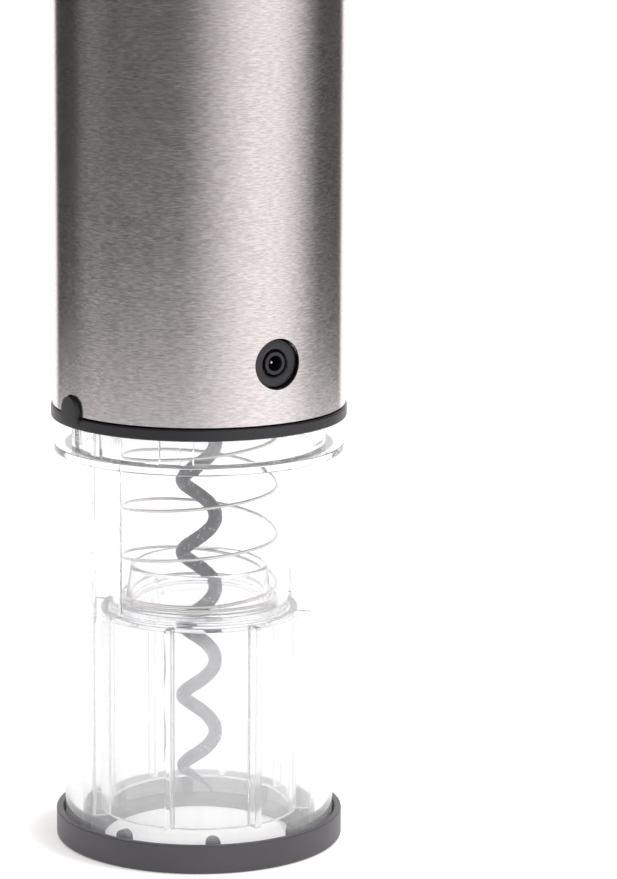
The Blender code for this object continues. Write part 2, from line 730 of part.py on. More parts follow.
def carrier_pins(stage, plate_bottom):
    """Three planet pins standing on a carrier's plate."""
    low = plate_bottom + CARRIER_THICK / 2
    high = plate_bottom + CARRIER_THICK + FACE_WIDTH + GAP
    return rods_at(f"{stage}_pin", planet_spots(), PIN_RADIUS, low, high, sides=8)


def make_planets(stage, bottom):
    """Three planets of a stage. Each has a tooth space towards the sun."""
    outlines = [gear_outline(PLANET_TEETH, 0.5), circle(PIN_RADIUS + PLAY, 8)]
    for index, spot in enumerate(planet_spots()):
        planet = flat(f"{stage}_planet_{index + 1}", outlines, bottom, bottom + FACE_WIDTH - GAP, "white_plastic")
        planet.location.x, planet.location.y = spot


def make_gear_train():
    """Ring gear housing and two alike planetary stages, the first driven by the motor's pinion."""
    outlines = [circle(GEARBOX_RADIUS, SIDES), ring_outline()]
    housing = as_mesh(flat("gearbox_housing", outlines, RING_BOTTOM, RING_TOP, "white_plastic"))
    spots = screw_spots()
    join(housing, *lugs("housing_lug", RING_BOTTOM, RING_TOP))
    cut(housing, *rods_at("housing_hole", spots, SCREW_RADIUS + PLAY, RING_BOTTOM - CUT, RING_TOP + CUT))
    sun_bottom = OUTPUT_CARRIER_BOTTOM + CARRIER_THICK + GAP
    make_planets("second", sun_bottom)
    profile = [
        (0, FIRST_CARRIER_BOTTOM + CARRIER_THICK),
        (CARRIER_RADIUS, FIRST_CARRIER_BOTTOM + CARRIER_THICK),
        (CARRIER_RADIUS, FIRST_CARRIER_BOTTOM),
        (0, FIRST_CARRIER_BOTTOM),
    ]
    carrier = turned("first_carrier", profile, "sintered_steel", MEDIUM_SIDES)
    sun_top = FIRST_CARRIER_BOTTOM + CARRIER_THICK / 2
    sun = as_mesh(flat("second_sun", [gear_outline(SUN_TEETH)], sun_bottom, sun_top, None))
    join(carrier, sun, *carrier_pins("first", FIRST_CARRIER_BOTTOM))
    pinion_bottom = FIRST_CARRIER_BOTTOM + CARRIER_THICK + GAP
    make_planets("first", pinion_bottom)
    outlines = [gear_outline(SUN_TEETH), circle(MOTOR_SHAFT_RADIUS + PLAY, 8)]
    flat("motor_pinion", outlines, pinion_bottom, pinion_bottom + FACE_WIDTH, "brass")


def make_motor():
    """Can motor with its shaft and end cap, the plate that it stands on and the gearbox screws."""
    plate_bottom = RING_TOP + GAP
    spots = screw_spots()
    plate = ring("motor_plate", GEARBOX_RADIUS, MOTOR_BOSS_RADIUS + GAP, plate_bottom, MOTOR_PLATE_TOP, "zinc")
    join(plate, *lugs("plate_lug", plate_bottom, MOTOR_PLATE_TOP))
    holes = rods_at("plate_hole", spots, SCREW_RADIUS + PLAY, plate_bottom - CUT, MOTOR_PLATE_TOP + CUT)
    cut(plate, *holes)
    seat = PLATE_BOTTOM + SCREW_HEAD
    for index, spot in enumerate(spots):
        screw = make_screw(f"gearbox_screw_{index + 1}", MOTOR_PLATE_TOP - seat)
        screw.location = (*spot, seat)
    shaft_bore = MOTOR_SHAFT_RADIUS + PLAY
    profile = [
        (MOTOR_RADIUS - CUT, MOTOR_TOP),
        (MOTOR_RADIUS, MOTOR_TOP - CUT),
        (MOTOR_RADIUS, MOTOR_BOTTOM + CUT),
        (MOTOR_RADIUS - CUT, MOTOR_BOTTOM),
        (MOTOR_BOSS_RADIUS, MOTOR_BOTTOM),
        (MOTOR_BOSS_RADIUS, MOTOR_BOTTOM - MOTOR_BOSS),
        (shaft_bore, MOTOR_BOTTOM - MOTOR_BOSS),
        (shaft_bore, MOTOR_TOP),
    ]
    turned("motor_can", profile, "nickel", MEDIUM_SIDES)
    step = TAIL_TOP - MOTOR_TAIL / 2
    profile = [
        (0, TAIL_TOP),
        (MOTOR_BOSS_RADIUS, TAIL_TOP),
        (MOTOR_BOSS_RADIUS, step),
        (MOTOR_RADIUS - CUT, step),
        (MOTOR_RADIUS - CUT, MOTOR_TOP + GAP),
        (0, MOTOR_TOP + GAP),
    ]
    turned("motor_end_cap", profile, "black_plastic", MEDIUM_SIDES)
    shaft_bottom, shaft_top = FIRST_CARRIER_BOTTOM + CARRIER_THICK + GAP, MOTOR_TOP - CUT
    middle = (0, 0, (shaft_bottom + shaft_top) / 2)
    rod("motor_shaft", MOTOR_SHAFT_RADIUS, shaft_top - shaft_bottom, middle, "nickel", sides=SMALL_SIDES)


def make_screw(name, length):
    """A pan-head screw along +Z with the underside of its head at the origin."""
    profile = [
        (0, length),
        (SCREW_RADIUS, length),
        (SCREW_RADIUS, 0),
        (SCREW_HEAD_RADIUS, 0),
        (SCREW_HEAD_RADIUS, -SCREW_HEAD * 0.6),
        (SCREW_HEAD_RADIUS * 0.7, -SCREW_HEAD),
        (0, -SCREW_HEAD),
    ]
    return turned(name, profile, "zinc", SMALL_SIDES)


def make_batteries():
    """Four cells in a square and the contact plates at their ends."""
    for index, (side, depth) in enumerate(((-1, -1), (1, -1), (-1, 1), (1, 1))):
        half, tip = CELL_LENGTH / 2, CELL_LENGTH / 2 - CELL_TIP
        profile = [
            (0, half),
            (CELL_RADIUS * 0.4, half),
            (CELL_RADIUS * 0.4, tip),
            (CELL_RADIUS - CELL_TIP / 2, tip),
            (CELL_RADIUS, tip - CELL_TIP / 2),
            (CELL_RADIUS, CELL_TIP / 2 - half),
            (CELL_RADIUS - CELL_TIP / 2, -half),
            (0, -half),
        ]
        cell = turned(f"battery_{index + 1}", profile, "cell_wrap", SMALL_SIDES)
        cell.location = (side * CELL_CENTRE, depth * CELL_CENTRE, CELL_BOTTOM + half)
        if side == depth:
            cell.rotation_euler.x = math.pi
    for name, bottom in (
        ("battery_plate_bottom", CELL_BOTTOM - GAP - STRIP_THICK),
        ("battery_plate_top", CELL_TOP + GAP),
    ):
        middle = (0, 0, bottom + STRIP_THICK / 2)
        rod(name, CELL_PLATE_RADIUS, STRIP_THICK, middle, "black_plastic", sides=SIDES)


def half_body(name, side):
    """One half of the chassis shell with its bulkheads, cut along the body's middle plane."""
    ledges = [
        (PLATE_BOTTOM - GAP - LEDGE_THICK, GEARBOX_RADIUS + LUG_OFFSET),
        (MOTOR_PLATE_TOP + GAP, MOTOR_RADIUS + GAP),
        (CELL_BOTTOM + CELL_RADIUS, PACK_RADIUS + GAP),
    ]
    if side > 0:
        ledges.append((CELL_TOP - CELL_RADIUS, PACK_RADIUS + GAP))
    profile = [
        (CHASSIS_RADIUS, CHASSIS_TOP),
        (CHASSIS_RADIUS, CHASSIS_BOTTOM),
        (CHASSIS_BORE, CHASSIS_BOTTOM),
    ]
    for bottom, inner in ledges:
        top = bottom + LEDGE_THICK
        profile += [(CHASSIS_BORE, bottom), (inner, bottom), (inner, top), (CHASSIS_BORE, top)]
    profile.append((CHASSIS_BORE, CHASSIS_TOP))
    shell = turned(name, profile, "black_plastic")
    wall = CHASSIS_RADIUS - CHASSIS_WALL / 2
    within = rod(f"{name}_within", wall, 2 * CHASSIS_TOP, (0, 0, CHASSIS_TOP), None, sides=SIDES)
    for index, (x, z) in enumerate(boss_spots()):
        boss = rod(f"{name}_boss_{index + 1}", SCREW_BOSS_RADIUS, 2 * CHASSIS_RADIUS, (x, 0, z), None, "Y")
        join(shell, combine(boss, "INTERSECT", within))
    near, far = sorted((side * GAP / 2, -side * BODY_DIAMETER))
    low, high = (-BODY_DIAMETER, near, -CUT), (BODY_DIAMETER, far, CHASSIS_TOP + CUT)
    return cut(shell, block(f"{name}_beyond", low, high, None))


def boss_spots():
    """The (x, z) of the four screws that join the chassis halves."""
    return [(side * SCREW_X, height) for height in BOSS_HEIGHTS for side in (-1, 1)]


def make_chassis():
    """The two chassis halves, their screws and the openings for the controls and the jack."""
    front = half_body("chassis_front", -1)
    rear = half_body("chassis_rear", 1)
    for index, (x, z) in enumerate(boss_spots()):
        bite = SCREW_BITE + CUT
        hole = (x, (bite - SCREW_SEAT - CUT) / 2, z)
        shank = rod(f"shank_hole_{index + 1}", SCREW_RADIUS + PLAY, bite + SCREW_SEAT + CUT, hole, None, "Y")
        room = BODY_RADIUS - SCREW_SEAT
        head_at = (x, -SCREW_SEAT - room / 2, z)
        head = rod(f"head_room_{index + 1}", SCREW_HEAD_RADIUS + PLAY, room, head_at, None, "Y")
        cut(front, shank, head)
        cut(rear, shank)
        screw = make_screw(f"chassis_screw_{index + 1}", SCREW_SEAT + SCREW_BITE - GAP)
        screw.location = (x, -SCREW_SEAT - GAP, z)
        screw.rotation_euler.x = -math.pi / 2
    posts = []
    for end in (-1, 1):
        low, high = BOARD_FRONT + GAP, CHASSIS_RADIUS - CHASSIS_WALL / 2
        middle = (0, -(low + high) / 2, PANEL_HEIGHT + end * (BOARD_LENGTH / 2 - 2 * POST_RADIUS))
        posts.append(rod(f"board_post_{end + 2}", POST_RADIUS, high - low, middle, None, "Y"))
    join(front, *posts)
    cut(front, *control_holes("chassis", CHASSIS_BORE - CUT, CHASSIS_RADIUS + CUT))
    middle = (0, CHASSIS_BORE, JACK_HEIGHT)
    cut(rear, rod("rear_jack_hole", JACK_DISC_RADIUS + GAP, 6 * CHASSIS_WALL, middle, None, "Y", MEDIUM_SIDES))


def control_holes(name, near, far):
    """Cutters for the two buttons and the indicator, between two distances in front of the axis."""
    middle = -(near + far) / 2
    holes = [
        rod(f"{name}_{way}_hole", BUTTON_RADIUS + GAP, far - near, (0, middle, height), None, "Y", MEDIUM_SIDES)
        for way, height in BUTTON_HEIGHTS.items()
    ]
    lens = rod(f"{name}_lens_hole", LENS_RADIUS + GAP, far - near, (0, middle, PANEL_HEIGHT), None, "Y")
    return holes + [lens]


def make_trim():
    """Black ring between cover and sleeve, with a collar up inside the sleeve and two index tabs."""
    bore = NECK_RADIUS + KEY_PROUD + GAP
    collar = CHASSIS_RADIUS
    profile = [
        (collar, TAB_TOP),
        (collar, TRIM_TOP),
        (TRIM_RADIUS, TRIM_TOP),
        (TRIM_RADIUS, TRIM_BOTTOM),
        (bore, TRIM_BOTTOM),
        (bore, TAB_TOP),
    ]
    trim = turned("trim_ring", profile, "black_plastic")
    join(trim, *tab_pieces("tab", TAB_WIDTH / 2, bore + CUT / 2, TRIM_RADIUS + TAB_PROUD))


def tab_pieces(name, half, inner, outer):
    """A round-topped tab on each side, as a disc on a block, between two radii."""
    centre = TAB_TOP - TAB_WIDTH / 2
    low = TRIM_TOP - TRIM_BAND / 2
    pieces = []
    for side in (-1, 1):
        shape = bmesh.new()
        turn = Matrix.Rotation(math.pi / 2, 4, "Y")
        bmesh.ops.create_cone(
            shape, cap_ends=True, segments=MEDIUM_SIDES, radius1=half, radius2=half, depth=outer - inner, matrix=turn
        )
        disc = mesh_from(f"{name}_disc_{side + 2}", shape, None)
        disc.location = (side * (inner + outer) / 2, 0, centre)
        near, far = sorted((side * inner, side * outer))
        pieces += [disc, block(f"{name}_foot_{side + 2}", (near, -half, low), (far, half, centre), None)]
    return pieces


def make_sleeve():
    """Brushed steel sleeve with the switch window, the jack hole and notches for the trim's tabs."""
    sleeve = ring("steel_sleeve", BODY_RADIUS, SLEEVE_BORE, SLEEVE_BOTTOM, CHASSIS_TOP, "brushed_steel")
    near, far = SLEEVE_BORE - 2 * CUT, BODY_RADIUS + CUT
    window = stadium_prism("window", PANEL_WIDTH + 2 * GAP, PANEL_LENGTH + 2 * GAP, PANEL_HEIGHT, near, far)
    middle = (0, (near + far) / 2, JACK_HEIGHT)
    jack = rod("sleeve_jack_hole", JACK_DISC_RADIUS + GAP, far - near, middle, None, "Y", MEDIUM_SIDES)
    cut(sleeve, window, jack, *tab_pieces("notch", TAB_WIDTH / 2 + GAP, SLEEVE_BORE - CUT, BODY_RADIUS + CUT))


def make_panel():
    """Black switch panel in the sleeve's window, its two buttons and the indicator lens."""
    low, high = PANEL_HEIGHT - PANEL_LENGTH, PANEL_HEIGHT + PANEL_LENGTH
    panel = ring("switch_panel", TRIM_RADIUS, PANEL_BACK, low, high, "black_plastic")
    near, far = PANEL_BACK - 3 * CUT, TRIM_RADIUS + CUT
    outline = stadium_prism("panel_outline", PANEL_WIDTH, PANEL_LENGTH, PANEL_HEIGHT, near, far)
    combine(panel, "INTERSECT", outline)
    cut(panel, *control_holes("panel", near, far))
    for way, height in BUTTON_HEIGHTS.items():
        profile = [
            (0, BUTTON_FACE),
            (BUTTON_RADIUS - BUTTON_EDGE, BUTTON_FACE),
            (BUTTON_RADIUS, BUTTON_FACE - BUTTON_EDGE),
            (BUTTON_RADIUS, FLANGE_FRONT),
            (BUTTON_RADIUS + BUTTON_FLANGE, FLANGE_FRONT),
            (BUTTON_RADIUS + BUTTON_FLANGE, FLANGE_BACK),
            (0, FLANGE_BACK),
        ]
        button = facing(turned(f"{way}_button", profile, "black_plastic", MEDIUM_SIDES), 0, height)
        shape = bmesh.new()
        point = math.pi / 6 if way == "up" else -math.pi / 6
        bmesh.ops.create_cone(
            shape, cap_ends=True, segments=3, radius1=ICON_RADIUS, radius2=ICON_RADIUS, depth=2 * ICON_DEPTH,
            matrix=Matrix.Rotation(point, 4, "Z"),
        )
        icon = mesh_from(f"{way}_icon", shape, None)
        icon.rotation_euler.x = math.pi / 2
        icon.location = (0, -BUTTON_FACE, height)
        cut(button, icon)
    flange = LENS_RADIUS + BUTTON_FLANGE
    profile = [
        (0, BUTTON_FACE - GAP),
        (LENS_RADIUS, BUTTON_FACE - GAP),
        (LENS_RADIUS, FLANGE_FRONT),
        (flange, FLANGE_FRONT),
        (flange, FLANGE_BACK),
        (0, FLANGE_BACK),
    ]
    facing(turned("indicator_lens", profile, "clear_plastic", SMALL_SIDES), 0, PANEL_HEIGHT)


def make_board():
    """Circuit board behind the panel with a tactile switch for each button and a charge light."""
    half = BOARD_LENGTH / 2
    low = (-BOARD_WIDTH / 2, -BOARD_FRONT, PANEL_HEIGHT - half)
    high = (BOARD_WIDTH / 2, -BOARD_BACK, PANEL_HEIGHT + half)
    block("circuit_board", low, high, "board_green")
    back = BOARD_FRONT + GAP
    for way, height in BUTTON_HEIGHTS.items():
        side = SWITCH_SIZE / 2
        body = block(f"{way}_switch", (-side, -SWITCH_FRONT, height - side), (side, -back, height + side), "nickel")
        low, high = SWITCH_FRONT - SWITCH_TALL / 2, PLUNGER_FRONT
        middle = (0, -(low + high) / 2, height)
        join(body, rod(f"{way}_plunger", PLUNGER_RADIUS, high - low, middle, None, "Y", SMALL_SIDES))
    side = LED_SIZE / 2
    block("charge_led", (-side, -back - LED_TALL, PANEL_HEIGHT - side), (side, -back, PANEL_HEIGHT + side),
          "white_plastic")


def make_jack():
    """Charging jack at the back: a black disc in the sleeve, the barrel jack in it and its pin."""
    face = BODY_RADIUS - JACK_SINK
    disc_back = face - JACK_DISC_THICK
    bezel = ring("jack_bezel", JACK_DISC_RADIUS, JACK_NOSE_RADIUS + GAP, disc_back, face, "black_plastic", MEDIUM_SIDES)
    facing(bezel, 180, JACK_HEIGHT)
    side, half = JACK_WIDTH / 2, JACK_TALL / 2
    shoulder = min(disc_back - GAP, math.sqrt((CHASSIS_BORE - GAP) ** 2 - side**2))
    back = shoulder - JACK_LENGTH
    low, high = (-side, back, JACK_HEIGHT - half), (side, shoulder, JACK_HEIGHT + half)
    jack = block("dc_jack", low, high, "black_plastic")
    start = (back + shoulder) / 2
    middle = (0, (start + face) / 2, JACK_HEIGHT)
    join(jack, rod("jack_nose", JACK_NOSE_RADIUS, face - start, middle, None, "Y", MEDIUM_SIDES))
    floor = face - JACK_HOLE_DEPTH
    middle = (0, (floor + face + CUT) / 2, JACK_HEIGHT)
    cut(jack, rod("jack_bore", JACK_HOLE_RADIUS, face + CUT - floor, middle, None, "Y", MEDIUM_SIDES))
    pin_back, pin_front = floor + GAP, face - CUT
    middle = (0, (pin_back + pin_front) / 2, JACK_HEIGHT)
    rod("jack_pin", JACK_PIN_RADIUS, pin_front - pin_back, middle, "nickel", "Y", SMALL_SIDES)


def make_cap():
    """Black top cap with a rounded edge and a plug that fits down into the chassis."""
    plug = CHASSIS_BORE - GAP
    inner = plug - CAP_WALL
    top = CAP_BOTTOM + CAP_HEIGHT - CAP_DOME
    profile = [(0, top + CAP_DOME), (BODY_RADIUS * 0.45, top + CAP_DOME * 0.75)]
    steps = 4
    for i in range(steps + 1):
        angle = math.pi / 2 * (1 - i / steps)
        across = BODY_RADIUS - CAP_ROUND + CAP_ROUND * math.cos(angle)
        profile.append((across, top - CAP_ROUND + CAP_ROUND * math.sin(angle)))
    profile += [
        (BODY_RADIUS, CAP_BOTTOM),
        (plug, CAP_BOTTOM),
        (plug, CAP_BOTTOM - CAP_PLUG),
        (inner, CAP_BOTTOM - CAP_PLUG),
        (inner, top - CAP_WALL),
        (0, top - CAP_WALL),
    ]
    turned("top_cap", profile, "black_plastic")


def smooth():
    """Shade the round pieces smooth with their edges kept sharp."""
    for obj in PARTS.objects:
        if obj.type == "MESH" and obj.data.polygons:
            obj.data.shade_smooth()
            obj.data.set_sharp_from_angle(angle=math.radians(35))


make_base()
make_clear_housing()
make_bottle_guide()
make_cork_guide()
make_worm()
make_output()
make_gear_train()
make_motor()
make_batteries()
make_chassis()
make_trim()
make_sleeve()
make_panel()
make_board()
make_jack()
make_cap()
smooth()
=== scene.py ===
"""Looks of an electric wine opener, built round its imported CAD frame.

Metres, +Z up, origin at the centre of the base ring's underside.  Directions round the body are
azimuths in degrees: 0 is the front (-Y, the buttons), 90 is +X and 180 is the back (+Y, the jack).
"""

import logging
import math
from collections.abc import Callable, Iterable, Sequence
from dataclasses import dataclass, field
from enum import Enum

import bmesh
import bpy
from mathutils import Matrix, Vector


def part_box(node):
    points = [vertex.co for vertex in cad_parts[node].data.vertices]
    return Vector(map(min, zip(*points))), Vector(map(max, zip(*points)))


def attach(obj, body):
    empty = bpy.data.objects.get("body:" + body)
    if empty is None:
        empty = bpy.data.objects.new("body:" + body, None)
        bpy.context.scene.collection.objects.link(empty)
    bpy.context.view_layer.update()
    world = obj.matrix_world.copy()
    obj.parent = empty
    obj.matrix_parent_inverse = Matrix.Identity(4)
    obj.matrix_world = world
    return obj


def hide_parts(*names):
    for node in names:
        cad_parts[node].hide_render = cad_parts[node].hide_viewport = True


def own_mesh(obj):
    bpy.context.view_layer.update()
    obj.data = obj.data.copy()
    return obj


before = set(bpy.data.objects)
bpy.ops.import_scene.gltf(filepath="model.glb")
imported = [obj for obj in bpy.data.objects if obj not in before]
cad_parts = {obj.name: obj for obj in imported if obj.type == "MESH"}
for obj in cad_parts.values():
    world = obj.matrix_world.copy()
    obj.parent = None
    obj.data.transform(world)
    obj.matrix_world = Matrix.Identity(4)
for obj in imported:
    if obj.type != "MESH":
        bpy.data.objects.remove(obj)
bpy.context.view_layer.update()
LOG = logging.getLogger("wine_opener")

MM = 0.001
GAP = 0.3 * MM
SLEEVE_WALL = 0.6 * MM
ROUND_STEPS = 144
FINE_STEPS = 192
MEDIUM_STEPS = 96
SMALL_STEPS = 48
SHARP_ANGLE = 40

Profile = list[tuple[float, float]]
Colour = tuple[float, float, float]
Piece = bpy.types.Object
Shape = bmesh.types.BMesh
Socket = bpy.types.NodeSocket
Scale = tuple[float, float, float]


class Side(Enum):
    """The two ways that a piece set into the body's wall can face."""

    FRONT = -1
    BACK = 1


class Way(Enum):
    """The two buttons, with the sign of the way that each one's arrow points."""

    UP = 1
    DOWN = -1


class Work(Enum):
    """What combine does with a piece and the other shapes, by the name of the Boolean operation."""

    CUT = "DIFFERENCE"
    JOIN = "UNION"
    KEEP_SHARED = "INTERSECT"


# ---------------------------------------------------------------------------------------------
# Modelling
# ---------------------------------------------------------------------------------------------


def polar(azimuth: float, radius: float) -> tuple[float, float]:
    """The (x, y) of a point at an azimuth in degrees and a radius."""
    angle = math.radians(azimuth)
    return radius * math.sin(angle), -radius * math.cos(angle)


def turn(profile: Profile, steps: int = ROUND_STEPS, solid: bool = False) -> Shape:
    """Spins a profile of (radius, height) points about Z.

    Args:
        profile: The points, which make a closed loop unless the shape is solid.
        steps: How many faces go round.
        solid: Whether both ends of the profile lie on the axis.

    Returns:
        The closed shape, with its faces pointing out.
    """
    shape = bmesh.new()
    verts = [shape.verts.new((radius, 0.0, height)) for radius, height in profile]
    pairs = list(zip(verts, verts[1:]))
    if not solid:
        pairs.append((verts[-1], verts[0]))
    edges = [shape.edges.new(pair) for pair in pairs]
    bmesh.ops.spin(
        shape, geom=verts + edges, cent=(0, 0, 0), axis=(0, 0, 1), angle=math.tau, steps=steps, use_merge=True
    )
    return tidy(shape)


def tidy(shape: Shape) -> Shape:
    """Merges doubles and turns the faces outwards.

    Args:
        shape: The shape to change.

    Returns:
        The same shape.
    """
    bmesh.ops.remove_doubles(shape, verts=shape.verts[:], dist=0.001 * MM)
    bmesh.ops.recalc_face_normals(shape, faces=shape.faces[:])
    return shape


def round_edges(
    shape: Shape, width: float, segments: int = 3, sharp: float = 30, chosen: Callable | None = None
) -> Shape:
    """Rounds the sharp edges of a shape.

    Args:
        shape: The shape to change.
        width: The width of the rounding.
        segments: How many faces it has.
        sharp: The least angle between two faces, in degrees, that counts as an edge.
        chosen: A test that an edge has to pass, if not every sharp edge is rounded.

    Returns:
        The same shape.
    """
    least = math.radians(sharp)
    found = [edge for edge in shape.edges if len(edge.link_faces) == 2 and edge.calc_face_angle(0.0) > least]
    edges = [edge for edge in found if chosen is None or chosen(edge)]
    bmesh.ops.bevel(
        shape,
        geom=edges,
        offset=width,
        offset_type="OFFSET",
        affect="EDGES",
        segments=segments,
        profile=0.5,
        material=-1,
        clamp_overlap=True,
    )
    return shape


def rod(radius: float, length: float, centre: Sequence[float], steps: int = SMALL_STEPS) -> Shape:
    """A round bar that lies along Y.

    Args:
        radius: Its radius.
        length: Its length.
        centre: The point at its middle.
        steps: How many faces go round.

    Returns:
        The closed shape.
    """
    shape = bmesh.new()
    bmesh.ops.create_cone(
        shape,
        cap_ends=True,
        segments=steps,
        radius1=radius,
        radius2=radius,
        depth=length,
        matrix=Matrix.Translation(centre) @ Matrix.Rotation(math.pi / 2, 4, "X"),
    )
    return shape


def block(low: Sequence[float], high: Sequence[float], rounding: float = 0.0) -> Shape:
    """A box between two corners, with its edges rounded where a width is given.

    Args:
        low: Its lowest corner.
        high: Its highest corner.
        rounding: The width of the rounding.

    Returns:
        The closed shape.
    """
    low, high = Vector(low), Vector(high)
    shape = bmesh.new()
    size = Matrix.Diagonal((*(high - low), 1))
    bmesh.ops.create_cube(shape, size=1, matrix=Matrix.Translation((low + high) / 2) @ size)
    return round_edges(shape, rounding, 2) if rounding else shape


def spun(shape: Shape, azimuth: float) -> Shape:
    """Turns a shape made at the front about the body's axis.

    Args:
        shape: The shape to change.
        azimuth: The azimuth that it is turned to, in degrees.

    Returns:
        The same shape.
    """
    around = Matrix.Rotation(math.radians(azimuth), 3, "Z")
    bmesh.ops.rotate(shape, verts=shape.verts[:], cent=(0, 0, 0), matrix=around)
    return shape


def fin(
    azimuth: float, inner: float, outer: float, width: float, bottom: float, top: float, rounding: float
) -> Shape:
    """An upright fin with rounded edges.

    Args:
        azimuth: Where it stands.
        inner: The radius where it starts.
        outer: The radius where it ends.
        width: Its thickness.
        bottom: The height of its foot.
        top: The height of its top.
        rounding: The width of the rounding.

    Returns:
        The closed shape.
    """
    return spun(block((-width / 2, -outer, bottom), (width / 2, -inner, top), rounding), azimuth)


def stadium(width: float, length: float, height: float, near: float, far: float) -> Shape:
    """A prism with a stadium outline on the front of the body.

    Args:
        width: The outline's width, and twice the radius of its ends.
        length: The outline's height over both ends.
        height: The height of its middle.
        near: The distance of its back from the axis.
        far: The distance of its face from the axis.

    Returns:
        The closed shape.
    """
    shape = bmesh.new()
    half_step = Matrix.Rotation(math.pi / 64, 4, "Z")
    bmesh.ops.create_circle(shape, cap_ends=True, segments=64, radius=width / 2, matrix=half_step)
    straight = (length - width) / 2
    for vert in shape.verts:
        vert.co.y += math.copysign(straight, vert.co.y)
    extruded = bmesh.ops.extrude_face_region(shape, geom=shape.faces[:])
    raised = [item for item in extruded["geom"] if isinstance(item, bmesh.types.BMVert)]
    bmesh.ops.translate(shape, verts=raised, vec=(0, 0, far - near))
    stand = Matrix.Translation((0, -near, height)) @ Matrix.Rotation(math.pi / 2, 4, "X")
    bmesh.ops.transform(shape, matrix=stand, verts=shape.verts[:])
    return tidy(shape)


def facing(shape: Shape, side: Side, height: float) -> Shape:
    """Lays a shape made along Z so that its top faces the front or the back at a height.

    Args:
        shape: The shape to change.
        side: The way that its top faces.
        height: The height of its axis.

    Returns:
        The same shape.
    """
    lay = Matrix.Rotation(-side.value * math.pi / 2, 4, "X")
    bmesh.ops.transform(shape, matrix=Matrix.Translation((0, 0, height)) @ lay, verts=shape.verts[:])
    return shape


def as_object(name: str, shape: Shape) -> Piece:
    """Makes an object of a shape, smooth but for its sharp edges.

    Args:
        name: The object's name.
        shape: The shape, which is used up.

    Returns:
        The new object.
    """
    mesh = bpy.data.meshes.new(name)
    shape.to_mesh(mesh)
    shape.free()
    obj = bpy.data.objects.new(name, mesh)
    bpy.context.scene.collection.objects.link(obj)
    return smooth(obj)


def smooth(obj: Piece) -> Piece:
    """Shades an object smooth but for its sharp edges.

    Args:
        obj: The object to change.

    Returns:
        The same object.
    """
    obj.data.shade_smooth()
    obj.data.set_sharp_from_angle(angle=math.radians(SHARP_ANGLE))
    return obj


def baked(obj: Piece) -> Piece:
    """Applies an object's modifiers, or makes a curve object a mesh object of the same name.

    Args:
        obj: The object, which is used up.

    Returns:
        The new object.
    """
    bpy.context.view_layer.update()
    graph = bpy.context.evaluated_depsgraph_get()
    mesh = bpy.data.meshes.new_from_object(obj.evaluated_get(graph))
    name = obj.name
    mesh.materials.clear()
    bpy.data.objects.remove(obj)
    made = bpy.data.objects.new(name, mesh)
    bpy.context.scene.collection.objects.link(made)
    return made


def combine(obj: Piece, work: Work, *shapes: Shape) -> Piece:
    """Cuts shapes out of an object, joins them to it or keeps what they share.

    Args:
        obj: The object to change.
        work: What to do with them.
        *shapes: The other shapes, which are used up.

    Returns:
        The new object, of the same name.
    """
    tools = [as_object(f"tool_{index}", shape) for index, shape in enumerate(shapes)]
    for tool in tools:
        modifier = obj.modifiers.new(tool.name, "BOOLEAN")
        modifier.operation = work.value
        modifier.solver = "EXACT"
        modifier.object = tool
    made = baked(obj)
    for tool in tools:
        bpy.data.objects.remove(tool)
    return smooth(made)


def soften(obj: Piece, width: float, segments: int = 2) -> Piece:
    """Rounds the sharp edges of an object that is already cut to shape.

    Args:
        obj: The object, which is used up.
        width: The width of the rounding.
        segments: How many faces it has.

    Returns:
        The new object, of the same name.
    """
    modifier = obj.modifiers.new("Rounding", "BEVEL")
    modifier.width = width
    modifier.segments = segments
    modifier.limit_method = "ANGLE"
    modifier.angle_limit = math.radians(SHARP_ANGLE)
    modifier.miter_outer = "MITER_ARC"
    return smooth(baked(obj))


def weighed(obj: Piece) -> Piece:
    """Weighs an object's normals by the size of its faces, so that rounded ends don't bend long walls.

    Args:
        obj: The object, which is used up.

    Returns:
        The new object, of the same name.
    """
    modifier = obj.modifiers.new("Weighed", "WEIGHTED_NORMAL")
    modifier.mode = "FACE_AREA"
    modifier.weight = 100
    modifier.keep_sharp = True
    return baked(obj)


def shade_round(obj: Piece, closeness: float = 0.97) -> Piece:
    """Gives the walls of a cut tube the normals of a true cylinder round the body's axis.

    Args:
        obj: The object to change.
        closeness: How squarely a face must look towards or away from the axis to count as a wall.

    Returns:
        The same object.
    """
    mesh = obj.data
    normals = [corner.vector.copy() for corner in mesh.corner_normals]
    for face in mesh.polygons:
        out = Vector((face.center.x, face.center.y, 0)).normalized()
        lean = face.normal.dot(out)
        if abs(lean) > closeness:
            for loop in face.loop_indices:
                at = mesh.vertices[mesh.loops[loop].vertex_index].co
                normals[loop] = Vector((at.x, at.y, 0)).normalized() * math.copysign(1, lean)
    mesh.normals_split_custom_set(normals)
    return obj


def tube(name: str, path: Sequence[Vector], radius: float, shares: Sequence[float] | None = None) -> Piece:
    """A round wire along a path.

    Args:
        name: The piece's name.
        path: The points along its middle.
        radius: Its radius.
        shares: The share of that radius at each point, where it tapers.

    Returns:
        A closed mesh.
    """
    curve = bpy.data.curves.new(name, "CURVE")
    curve.dimensions = "3D"
    curve.bevel_depth = radius
    curve.bevel_resolution = 6
    curve.use_fill_caps = True
    spline = curve.splines.new("POLY")
    spline.points.add(len(path) - 1)
    for index, (point, place) in enumerate(zip(spline.points, path)):
        point.co = (*place, 1)
        point.radius = shares[index] if shares else 1
    obj = bpy.data.objects.new(name, curve)
    bpy.context.scene.collection.objects.link(obj)
    made = baked(obj)
    shape = bmesh.new()
    shape.from_mesh(made.data)
    tidy(shape).to_mesh(made.data)
    shape.free()
    return smooth(made)


# ---------------------------------------------------------------------------------------------
# Finishes
# ---------------------------------------------------------------------------------------------


